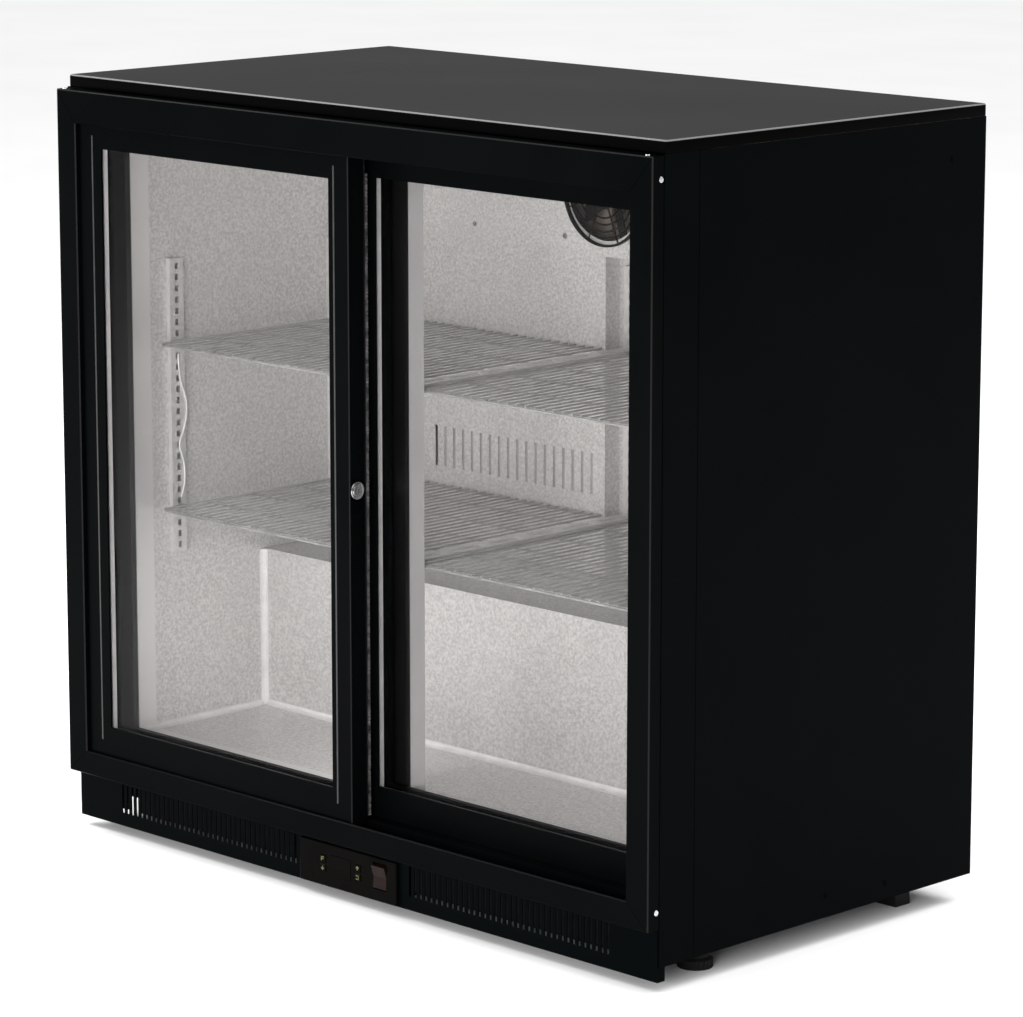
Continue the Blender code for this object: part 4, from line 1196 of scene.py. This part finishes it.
panel_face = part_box("side_panel_right")[1].x - RIVET_RISE
rivets = [rivet(side * panel_face, side, y, z) for side in (-1, 1) for y, z in RIVET_PLACES]
keep(join(rivets), "side_rivets", moulded, "cabinet", "black_steel")
print("rivets:", len(rivets))

# %% Painted shade behind the duct slots
SLOT_SHADE_X = (0.036, 0.2855)
SLOT_SHADE_Z = (0.372, 0.436)
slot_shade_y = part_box("duct_panel")[0].y + 0.0013
slot_shade_sheets = []
for side in (-1, 1):
    ends = sorted(side * x for x in SLOT_SHADE_X)
    # A grey sheet whose tone is painted shade, seen through the duct's slots.
    slot_shade_sheet = block((ends[0], slot_shade_y, SLOT_SHADE_Z[0]), (ends[1], slot_shade_y + 0.001, SLOT_SHADE_Z[1]))
    pick(slot_shade_sheet, lambda face: face.normal.y > 0.9)
    bpy.ops.mesh.inset(thickness=0.003)
    bpy.ops.mesh.extrude_region_move(TRANSFORM_OT_translate={"value": (0, 0.003, 0)})
    done()
    slot_shade_sheets.append(slot_shade_sheet)
keep(join(slot_shade_sheets), "duct_slot_shade", painted_shade_metal, "cabinet", "galvanised")
print("baffles:", len(slot_shade_sheets))

# %% Painted shade behind the louvres
SHADE_MAT_SPANS = ((-0.408, -0.372), (-0.352, -0.092), (0.092, 0.408))
kick_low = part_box("kick_plate")[0]
mats = []
for first, last in SHADE_MAT_SPANS:
    # Painted shade: black sheets behind the louvres stand in for the dark inside the base.
    mat = block((first, kick_low.y + 0.0040, 0.030), (last, kick_low.y + 0.0065, 0.0640))
    pick(mat, lambda face: face.normal.y < -0.9)
    bpy.ops.mesh.inset(thickness=0.002)
    bpy.ops.mesh.extrude_region_move(TRANSFORM_OT_translate={"value": (0, 0.0008, 0)})
    done()
    mats.append(mat)
keep(join(mats), "louvre_shade_mats", rubber, "cabinet", "black_plastic")
print("shading mats:", len(mats))

# %% Corner seams
SEAM = 0.0065


def seam(low, high, axis, sides):
    """A square bar with a hollow front. The sides say where the open air is, for the other axes."""
    low, high = Vector(low), Vector(high)
    bar = block(low, high)
    start, end = low.copy(), high.copy()
    across = [index for index in range(3) if index != axis]
    for index, side in zip(across, sides):
        start[index] = end[index] = high[index] + 0.0005 if side > 0 else low[index] - 0.0005
    start[axis] -= 0.01
    end[axis] += 0.01
    cut(bar, rod(start, end, SEAM, 48))
    return bar


FLOOR_Z = 0.1041
STEP_Y = 0.0109
floor_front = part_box("liner_floor")[0].y
step_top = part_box("liner_floor")[1].z
wall_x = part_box("liner_right")[0].x - 0.0001
reach = wall_x - SEAM
seams = [seam((-reach, STEP_Y - SEAM, FLOOR_Z), (reach, STEP_Y, FLOOR_Z + SEAM), 0, (-1, 1))]
for side in (-1, 1):
    outer, inner = side * wall_x, side * reach
    near, far = min(outer, inner), max(outer, inner)
    seams.append(seam((near, STEP_Y - SEAM, FLOOR_Z), (far, STEP_Y, step_top - 0.001), 2, (-side, -1)))
    seams.append(seam((near, floor_front, FLOOR_Z), (far, STEP_Y - SEAM, FLOOR_Z + SEAM), 1, (-side, 1)))
keep(join(seams), "corner_seams", seam_metal, "cabinet", "stucco")
print("seams:", len(seams))

# %% [markdown]
# ## Front feet
#
# The front feet screw in and out to level the cabinet, so their rims are ribbed for grip. A short
# cylinder gets its ribs by insetting every other side face outwards; its top is drawn up into a
# collar that holds the threaded stud.

# %% Ribbed feet
FOOT_SIDES = 40


def levelling_foot(name):
    low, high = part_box(name)
    x = (low.x + high.x) / 2
    radius = (high.x - low.x) / 2
    y = low.y + radius
    base = rod((x, y, 0.0), (x, y, 0.0095), radius - 0.0009, FOOT_SIDES)
    centre = Vector((x, y, 0))

    def every_other_side(face):
        way = face.center - centre
        slot = int(round(math.atan2(way.y, way.x) / math.tau * FOOT_SIDES - 0.5))
        return not is_cap(face) and slot % 2 == 0

    pick(base, every_other_side)
    bpy.ops.mesh.inset(thickness=0.0003, depth=0.0009, use_individual=True)
    done()
    top = lambda face: is_cap(face) and face.normal.z > 0.9
    for rise, shrink in ((0.0015, 0.90), (0.0010, 0.92), (0.0130, 0.86), (0.0015, 0.90)):
        pick(base, top)
        bpy.ops.mesh.extrude_region_move(TRANSFORM_OT_translate={"value": (0, 0, rise)})
        bpy.ops.transform.resize(value=(shrink, shrink, 1), center_override=(x, y, 0))
        done()
    stud = rod((x, y, 0.024), (x, y, high.z - 0.0005), 0.0038, 16)
    threads = [thread_ridge(x, y, 0.0285 + 0.0016 * turn) for turn in range(12)]
    return join([base, stud, *threads])


def thread_ridge(x, y, z):
    """One ridge of the stud's thread."""
    bpy.ops.object.select_all(action="DESELECT")
    bpy.ops.mesh.primitive_torus_add(
        major_radius=0.0037, minor_radius=0.0005, major_segments=16, minor_segments=6, location=(x, y, z),
    )
    ridge = bpy.context.object
    settle(ridge)
    return ridge


for side_name in ("left", "right"):
    cad_name = f"foot_front_{side_name}"
    keep(levelling_foot(cad_name), f"ribbed_foot_{side_name}", rubber, cad_name, "foot_rubber", cad_name)
print("ribs:", FOOT_SIDES // 2)

# %% Floor
bpy.ops.object.select_all(action="DESELECT")
bpy.ops.mesh.primitive_plane_add(size=FLOOR_SIZE, location=(0, 0, 0))
floor = bpy.context.object
floor.name = "studio_floor"
studio_white = finish("studio_floor", (0.86, 0.86, 0.86), (0.88, 0.88, 0.88), 2, (0.8, 0.9), 40,
                      0.0001, Specular_IOR_Level=0.1)
floor.data.materials.append(studio_white)
floor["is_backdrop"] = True

# %% Measure the finished bounds
low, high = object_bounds()
